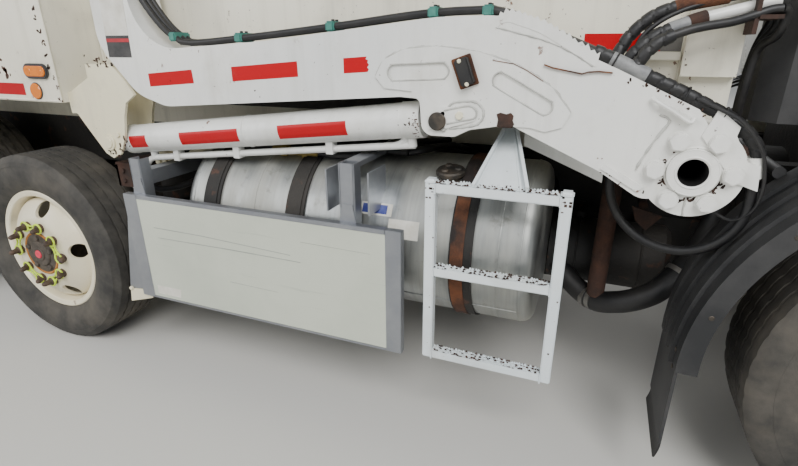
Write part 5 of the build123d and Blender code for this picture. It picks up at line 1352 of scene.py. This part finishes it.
# Cab trim: rubber seals round the laminated glass, two wipers, door handles, grab rails before and behind
# the doors, a dark plate behind the grille, and silvered glass in the mirrors.
safety_glass, tree, shader, place = new_finish("safety_glass_green", 0.03)
shader.inputs["Transmission Weight"].default_value = 0.92
shader.inputs["IOR"].default_value = 1.5
film_dust = patches(tree, place, 0.2, 0.4, 0.8, detail=8)
painted(tree, shader, "#C9D6CF", ("#A9B0A8", film_dust, 0.5))
roughened(tree, shader, film_dust, 0.02, 0.12)
coat(safety_glass, "windscreen", "door_glass_left", "door_glass_right")
mirror_silver = plain_finish("mirror_glass_silvered", "#D5D8DA", "#B9BDC0", 0.2, 0.04, 1.0, bump=0.00001)
seal_rubber = plain_finish("seal_rubber_black", "#171718", "#2E2E2E", 0.04, 0.6, bump=0.0002)
trim_black = plain_finish("trim_enamel_black", "#1C1C1D", "#3A3937", 0.06, 0.45, bump=0.0002)
screen_low = Vector((4.85, 0.0, 1.56))
screen_high = Vector((4.44, 0.0, 2.85))
screen_up = (screen_high - screen_low).normalized()
screen_out = Vector((screen_up.z, 0.0, -screen_up.x))
screen_middle = (screen_low + screen_high) / 2


def on_screen(across, up, out=0.0):
    """A point on the windscreen's plane: across to the left, up from its middle and out of it."""
    return screen_middle + Vector((0, across, 0)) + screen_up * up + screen_out * out


def rounded_loop(half_wide, half_high, radius, steps=8):
    """Corners of a rounded rectangle about the middle, going once round."""
    corners = []
    for sx, sy, start in ((1, 1, 0.0), (-1, 1, pi / 2), (-1, -1, pi), (1, -1, 3 * pi / 2)):
        for step in range(steps + 1):
            angle = start + pi / 2 * step / steps
            corners.append((sx * (half_wide - radius) + radius * cos(angle),
                            sy * (half_high - radius) + radius * sin(angle)))
    return corners


form = bmesh.new()
loop = [on_screen(y, z, 0.004) for y, z in rounded_loop(1.108, 0.578, 0.06)]
tube(form, loop + loop[:2], 0.014, 10)
new_piece("windscreen_seal", form, "root", seal_rubber, 60)
form = bmesh.new()
wiper_reach = -0.6
for y in (0.72, -0.18):
    pin = on_screen(y, -0.595, 0.03)
    disc(form, pin - screen_out * 0.03, screen_out, 0.022, 0.045, 20, 0.004)
    tip = on_screen(y + wiper_reach * 0.85, -0.505, 0.03)
    tube(form, [pin, (pin + tip) / 2 + screen_out * 0.008, tip], 0.006, 8)
    blade_from = on_screen(y + wiper_reach * 0.45, -0.548, 0.016)
    blade_to = on_screen(y + wiper_reach * 1.1, -0.478, 0.016)
    blade_middle = (blade_from + blade_to) / 2
    tube(form, [blade_from, blade_middle, blade_to], 0.007, 6)
    tube(form, [tip, (tip + blade_middle) / 2, blade_middle], 0.004, 6)
new_piece("wipers", form, "root", trim_black)
form = bmesh.new()
box(form, (4.8252, 4.8262), (-0.619, 0.619), (0.961, 1.419))
new_piece("grille_backing", form, "root", trim_black)
form = bmesh.new()
for side in (-1, 1):
    pipe(form, [(4.795, side * 1.222, 1.64), (4.783, side * 1.262, 1.665), (4.605, side * 1.262, 2.25),
                (4.59, side * 1.222, 2.275)], 0.02, 0.011, 12)
    pipe(form, [(3.96, side * 1.222, 1.4), (3.96, side * 1.262, 1.43), (3.96, side * 1.262, 2.23),
                (3.96, side * 1.222, 2.26)], 0.02, 0.012, 12)
new_piece("cab_grab_rails", form, "root", trim_black)
form = bmesh.new()
for side in (-1, 1):
    for zs in ((1.93, 2.27), (1.77, 1.9)):
        box(form, (4.7685, 4.7702), (side * 1.293, side * 1.427), zs)
new_piece("mirror_glass", form, "root", mirror_silver)
for side_name, side in both_sides:
    body = "door_" + side_name
    form = bmesh.new()
    pane = [Vector((x, side * 1.2195, z))
            for x, z in ((4.08, 1.62), (4.08, 2.615), (4.36, 2.615), (4.66, 1.62))]
    corners = [here.lerp(after, part) for here, after in zip(pane, pane[1:] + pane[:1])
               for part in (0.04, 0.5, 0.96)]
    pipe(form, corners + corners[:2], 0.03, 0.008, 8)
    new_piece(body + "_seal", form, body, seal_rubber, 60)
    form = bmesh.new()
    box(form, (4.045, 4.145), (side * 1.2195, side * 1.2225), (1.445, 1.515))
    softened(form, 0.001)
    pipe(form, [(4.055, side * 1.222, 1.48), (4.062, side * 1.24, 1.48), (4.128, side * 1.24, 1.48),
                (4.135, side * 1.222, 1.48)], 0.01, 0.008, 10)
    disc(form, (4.165, side * 1.2195, 1.48), (0, side, 0), 0.011, 0.004, 20, 0.001)
    new_piece(body + "_handle", form, body, trim_black)
form = bmesh.new()
box(form, (4.8995, 4.9015), (-0.155, 0.155), (0.465, 0.545))
new_piece("blank_number_plate_front", form, "root", vinyl_white)

# Seats: two air-sprung driver's seats in woven cloth. Each has a stuffed cushion and back with sewn channels,
# on a steel pan and a rubber bellows.
seat_cloth, tree, shader, place = new_finish("seat_cloth_woven", 0.9)
shader.inputs["Sheen Weight"].default_value = 0.3
warp = add_node(tree, "ShaderNodeTexWave", {"Vector": place, "Scale": 180.0}, bands_direction="X")
weft = add_node(tree, "ShaderNodeTexWave", {"Vector": place, "Scale": 180.0}, bands_direction="Z")
weave = add_node(tree, "ShaderNodeMath", {0: warp.outputs["Fac"], 1: weft.outputs["Fac"]},
                 operation="MULTIPLY")
painted(tree, shader, "#24262A", ("#4A4D52", weave.outputs[0], 0.6))
raised(tree, shader, weave.outputs[0], 0.0004)


def stuffed(name, size, channels):
    """A cushion about the origin: a rounded block swollen by cloth pressure, with channels sewn across."""
    form = bmesh.new()
    bmesh.ops.create_cube(form, size=1.0)
    for vertex in form.verts:
        vertex.co = Vector((vertex.co.x * (size[0] - 0.024), vertex.co.y * (size[1] - 0.024),
                            vertex.co.z * (size[2] - 0.03)))
    bmesh.ops.bevel(form, geom=form.edges[:], offset=0.03, segments=4, affect="EDGES")
    piece = placed(name, as_mesh(name, form))
    remesh = piece.modifiers.new("voxels", "REMESH")
    remesh.mode = "VOXEL"
    remesh.voxel_size = 0.01
    start = applied(piece)
    piece.modifiers.clear()
    piece.data = start
    rest = [vertex.co.copy() for vertex in start.vertices]
    cloth = piece.modifiers.new("cloth", "CLOTH")
    cloth.settings.use_pressure = True
    cloth.settings.uniform_pressure_force = 4.0
    cloth.settings.effector_weights.gravity = 0.0
    for step in range(1, 21):
        bpy.context.scene.frame_set(step)
    swollen = applied(piece)
    piece.modifiers.clear()
    piece.data = swollen
    bpy.context.scene.frame_set(1)
    cap = 0.011
    for vertex, before in zip(piece.data.vertices, rest):
        move = vertex.co - before
        if move.length > cap:
            move = move.normalized() * cap
        place = before + move
        top = max(0.0, min(1.0, place.z / (size[2] / 2)))
        for line in channels:
            along = abs(place.x - line * size[0])
            if along < 0.018:
                place.z -= 0.01 * top * cos(along / 0.018 * pi / 2)
        edge = abs(abs(place.y) - (size[1] / 2 - 0.075))
        if edge < 0.014:
            place.z -= 0.006 * top * cos(edge / 0.014 * pi / 2)
        vertex.co = place
    smooth = piece.modifiers.new("smooth", "SUBSURF")
    smooth.levels = 1
    smooth.render_levels = 1
    final = applied(piece)
    bpy.data.objects.remove(piece)
    for face in final.polygons:
        face.use_smooth = True
    return final


cushion_mesh = stuffed("seat_cushion", (0.5, 0.48, 0.12), (-0.25, 0.0, 0.25))
back_mesh = stuffed("seat_back", (0.72, 0.48, 0.12), (-0.3, -0.15, 0.0, 0.15))
seat_y = 0.64
form = bmesh.new()
for side in (-1, 1):
    y = side * seat_y
    box(form, (3.6, 4.02), (y - 0.19, y + 0.19), (1.49, 1.52))
    box(form, (3.64, 3.98), (y - 0.15, y + 0.15), (1.3653, 1.4))
    box(form, (3.482, 3.52), (y - 0.15, y + 0.15), (1.5, 1.56))
softened(form, 0.008)
for side in (-1, 1):
    y = side * seat_y
    for step in range(5):
        half = 0.135 if step % 2 else 0.115
        box(form, (3.81 - half - 0.01, 3.81 + half + 0.01), (y - half, y + half),
            (1.4 + 0.018 * step, 1.4185 + 0.018 * step))
pedestals = new_piece("seat_pedestals", form, "root", trim_black)
stands = [pedestals]
upright = Matrix.Rotation(radians(-90), 4, "Y") @ Matrix.Rotation(radians(180), 4, "Z")
for side_name, side in both_sides:
    for part, mesh, place, turn in (("cushion", cushion_mesh, (3.81, side * seat_y, 1.58), Matrix()),
                                    ("back", back_mesh, (3.54, side * seat_y, 1.885), upright)):
        copy = mesh.copy()
        copy.transform(Matrix.Translation(place) @ turn)
        copy.update()
        name = "seat_" + part + "_" + side_name
        copy.name = name
        pad = new_piece(name, copy, "root", seat_cloth)
        stands.append(pad)
for piece in stands:
    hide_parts("seats")

# Dashboard: a moulded black deck. Before each of the two steering wheels it carries three dials and a row of
# eight rocker switches.
form = bmesh.new()
for side in (-1, 1):
    y = side * seat_y
    for dial, radius in ((-0.13, 0.045), (0.0, 0.058), (0.13, 0.045)):
        ring(form, (4.56, y + dial, 1.513), (-0.1, 0, 1), radius, 0.006, 32)
    for switch in range(8):
        box(form, (4.64, 4.668), (y - 0.2 + switch * 0.05, y - 0.166 + switch * 0.05), (1.508, 1.521))
new_piece("dash_controls", form, "root", trim_black)
form = bmesh.new()
for side in (-1, 1):
    for dial, radius in ((-0.13, 0.042), (0.0, 0.055), (0.13, 0.042)):
        disc(form, (4.56, side * seat_y + dial, 1.508), (-0.1, 0, 1), radius, 0.004, 32, 0.001)
new_piece("dash_dials", form, "root", lens_clear)

# Body and hopper fittings: weld seams at the portal and the corner posts, hopper rails, tailgate clamps
# and the rear bumper. Refuse trucks are folded and seam-welded from sheet, so every join shows a bead.
form = bmesh.new()
for side in (-1, 1):
    for x, z_low, z_high, y, thick in (
            (0.4005, 1.19, 3.59, 1.2175, 0.0045), (0.408, 1.235, 3.09, 0.983, 0.005),
            (2.752, 1.335, 3.085, 1.0155, 0.004), (2.748, 1.2, 3.1, 0.981, 0.004)):
        pipe(form, [(x, side * y, z) for z in (z_low, (z_low + z_high) / 2, z_high)], 0.03,
             lambda run, base=thick: base * (0.88 + 0.2 * sin(run * 260)), 8)
    for x_low, x_high, z, y in ((0.41, 2.745, 3.091, 0.983), (-3.99, 0.395, 1.192, 1.2195)):
        pipe(form, [(x, side * y, z) for x in (x_low, (x_low + x_high) / 2, x_high)], 0.03, 0.004, 8)
new_piece("body_welds", form, "root", body_white, 60)
random = Random(23)
form = bmesh.new()
for spots, spread, size, near in (
        ([(0.392 - 0.004 * step, 1.2 + 0.045 * step, 4) for step in range(11)], 0.006, 0.009, -body_face),
        ([(-0.02, 1.4, 10), (0.04, 1.36, 8), (0.08, 1.33, 6), (-0.05, 1.5, 10)], 0.03, 0.02, -body_face),
        ([(2.76 + 0.004 * step, 1.38 - 0.02 * step, 1) for step in range(2)], 0.006, 0.005, -1.0165)):
    chips(form, spots, spread, size, near, random)
and_left(form)
new_piece("body_chips", form, "root", rust_and_shade_dark)
form = bmesh.new()
for side in (-1, 1):
    y = side * 0.9825
    box(form, (1.0, 2.745), (y, y + side * 0.016), (1.374, 1.396))
    for x in (0.95, 1.55, 2.15):
        box(form, (x - 0.02, x + 0.02), (y, y + side * 0.03), (1.64, 3.09))
new_piece("hopper_rails", form, "root", body_white)
form = bmesh.new()
for side in (-1, 1):
    for z in (1.3, 1.9, 2.5, 3.1):
        box(form, (-4.06, -3.95), (side * 1.2205, side * 1.246), (z - 0.03, z + 0.03))
        disc(form, (-3.97, side * 1.246, z), (0, side, 0), 0.014, 0.014, 6, 0.002)
new_piece("tailgate_clamps", form, "root", trim_black)
form = bmesh.new()
box(form, (-4.035, -3.985), (-1.15, 1.15), (0.56, 0.66))
for side in (-1, 1):
    box(form, (-4.03, -3.99), (side * 0.355, side * 0.425), (0.655, 0.98))
softened(form, 0.006)
new_piece("rear_bumper", form, "root", trim_black)
for name, first, finish in (("rear_bumper_tape_red", -1.1, tape_red),
                            ("rear_bumper_tape_white", -0.88, tape_white)):
    form = bmesh.new()
    for turn in range(5):
        low = first + 0.44 * turn
        box(form, (-4.0365, -4.035), (low, low + 0.22), (0.585, 0.635))
    new_piece(name, form, "root", finish)

# Machinery between the step and the fender, below the pivot: a large air hose with its steel clamp, a rusty
# exhaust pipe and hanger, and the outrigger and valve behind the guard's post.
form = bmesh.new()
pipe(form, [(2.38, -0.425, 0.83), (2.4, -0.54, 0.72), (2.47, -0.7, 0.56), (2.602, -0.8, 0.474),
            (2.708, -0.85, 0.497), (2.804, -0.86, 0.55), (2.862, -0.84, 0.603), (2.92, -0.79, 0.675),
            (2.985, -0.68, 0.76), (3.04, -0.54, 0.82), (3.06, -0.425, 0.845)], 0.012, 0.042, 24)
new_piece("air_hose", form, "root", hose_rubber)
form = bmesh.new()
for place, ahead in (((2.89, -0.818, 0.637), (0.55, 0.45, 0.7)), ((2.6, -0.799, 0.4745), (0.75, -0.65, 0.05)),
                     ((2.62, -0.812, 0.476), (0.8, -0.6, 0.08))):
    half = Vector(ahead).normalized() * 0.009
    tube(form, [Vector(place) - half, Vector(place), Vector(place) + half], 0.0445, 32)
clamp_steel = plain_finish("clamp_steel_plated", "#8E8C88", "#5E564C", 0.02, 0.4, 0.8)
new_piece("air_hose_clamps", form, "root", clamp_steel)
# The exhaust pipe, its hanger and bracket are rusty. Their very dark rust is partly painted shade, for they
# sit in shadow behind the step.
form = bmesh.new()
pipe(form, [(2.625, -0.82, 0.5), (2.625, -0.82, 0.56), (2.628, -0.818, 0.88), (2.63, -0.79, 0.945),
            (2.632, -0.73, 0.965), (2.632, -0.43, 0.965)], 0.012, 0.033, 24)
plate(form, [(2.7, 0.88), (2.8, 0.853), (2.756, 0.795), (2.717, 0.828)], -0.85, -0.842)
box(form, (2.735, 2.765), (-0.846, -0.428), (0.835, 0.85))
new_piece("exhaust_pipe_rusty", form, "root", rust_and_shade_dark)
form = bmesh.new()
disc(form, (2.425, -0.6, 0.6), (1, 0, 0), 0.135, 0.45, 64, 0.02)
# A black sheet on the outside of the right frame rail, from the step to the fender: painted shade that hides
# the pale floor under the chassis.
box(form, (2.365, 3.02), (-0.448, -0.442), (0.38, 0.729))
for x in (2.52, 2.76):
    box(form, (x, x + 0.025), (-0.6, -0.4303), (0.73, 0.76))
for x in (2.532, 2.772):
    ring(form, (x, -0.6, 0.6), (1, 0, 0), 0.1355, 0.004, 64)
# Black strips along the hopper's lower wall on both sides, behind the arms: painted shade.
for side in (-1, 1):
    box(form, (0.425, 2.725), (side * 0.9815, side * 0.992), (1.182, 1.262))
new_piece("air_tank_and_splash_strips", form, "root", chassis_black)
# A near-black lining in each pivot bore, closed by a plug at its inner end.
form = bmesh.new()
for side in (-1, 1):
    turned(form, [(0.0377, 0.92), (0.0377, 1.198), (0.0371, 1.199), (0.0362, 1.198), (0.0362, 0.92)], pivot,
           side, 64)
    disc(form, (pivot.x, side * 0.925, pivot.z), (0, -side, 0), 0.0364, 0.004, 64)
bore_black = plain_finish("bore_lining_near_black", "#060505", "#15110E", 0.02, 0.7)
new_piece("pivot_bore_grime", form, "arms", bore_black)
form = bmesh.new()
for side in (-1, 1):
    box(form, (2.752, 2.889), (side * 0.9804, side * 0.9862), (1.19, 1.331))
new_piece("corner_post_feet", form, "root", body_white)
form = bmesh.new()
box(form, (0.515, 0.6), (-1.12, -0.4303), (0.905, 0.917))
box(form, (0.515, 0.527), (-1.12, -0.4303), (0.805, 0.906))
box(form, (0.515, 0.6), (-1.12, -1.11), (0.805, 0.906))
for z in (0.835, 0.88):
    disc(form, (0.56, -1.119, z), (0, -1, 0), 0.011, 0.01, 6, 0.001)
new_piece("outrigger_rusty", form, "root", rust_and_shade_dark)
form = bmesh.new()
box(form, (0.665, 0.79), (-1.02, -0.94), (0.88, 0.955))
softened(form, 0.006)
box(form, (0.69, 0.765), (-0.945, -0.4303), (0.905, 0.93))
for x in (0.69, 0.728, 0.765):
    disc(form, (x, -1.019, 0.917), (0, -1, 0), 0.016, 0.022, 6, 0.002)
    disc(form, (x, -0.98, 0.954), (0, 0, 1), 0.013, 0.024, 6, 0.002)
new_piece("valve_block", form, "root", bracket_cream)
form = bmesh.new()
for y, z, reach in ((-1.022, 1.013, 1.33), (-0.975, 1.034, 1.9)):
    pipe(form, [(0.765, y + 0.02, 0.935), (0.82, y + 0.005, 0.985), (0.9, y, z + 0.004),
                (1.06, y, z + 0.004), (reach, y, z + 0.002)], 0.02, 0.0145, 14)
pipe(form, [(1.535, -1.022, 1.015), (1.64, -1.02, 1.014), (1.76, -0.985, 1.024), (1.86, -0.8, 1.04),
            (1.9, -0.43, 0.99)], 0.02, 0.0145, 14)
pipe(form, [(1.9, -0.975, 1.036), (1.96, -0.93, 1.046), (1.99, -0.7, 1.02), (2.0, -0.43, 0.95)], 0.02,
     0.0145, 14)
new_piece("tank_top_hoses", form, "root", hose_rubber)
form = bmesh.new()
for start, end, radius, sides in ((1.33, 1.372, 0.021, 24), (1.372, 1.398, 0.026, 6),
                                  (1.398, 1.47, 0.017, 24), (1.47, 1.496, 0.026, 6),
                                  (1.496, 1.54, 0.021, 24)):
    disc(form, (start, -1.022, 1.015), (1, 0, 0), radius, end - start, sides, 0.002)
new_piece("tank_top_fittings", form, "root", zinc_yellow)

# Floor and light: a pale studio floor under a soft overcast. The key lamp stands ahead on the right side, the
# fill lamp behind on the same side, and the third lights the left side.
form = bmesh.new()
bmesh.ops.create_grid(form, x_segments=1, y_segments=1, size=40)
floor = placed("floor", as_mesh("floor", form))
floor_grey, tree, shader, place = new_finish("studio_floor", 0.8)
shader.inputs["Base Color"].default_value = linear("#C9C7C1")
floor.data.materials.append(floor_grey)

world = bpy.data.worlds.new("studio")
world.use_nodes = True
world.node_tree.nodes["Background"].inputs["Color"].default_value = linear("#E6EBF2")
world.node_tree.nodes["Background"].inputs["Strength"].default_value = 0.55
bpy.context.scene.world = world
for name, place, aim, size, power in (
        ("key_lamp", (6.0, -9.0, 9.0), (1.5, -1.0, 1.0), 6.0, 1500.0),
        ("fill_lamp", (-7.0, -9.0, 6.0), (0.0, -1.0, 1.0), 8.0, 700.0),
        ("far_lamp", (0.0, 10.0, 9.0), (0.0, 0.0, 1.0), 8.0, 900.0)):
    lamp_data = bpy.data.lights.new(name, "AREA")
    lamp_data.size = size
    lamp_data.energy = power
    lamp = placed(name, lamp_data)
    lamp.location = place
    lamp.rotation_euler = (Vector(aim) - Vector(place)).to_track_quat("-Z", "Y").to_euler()
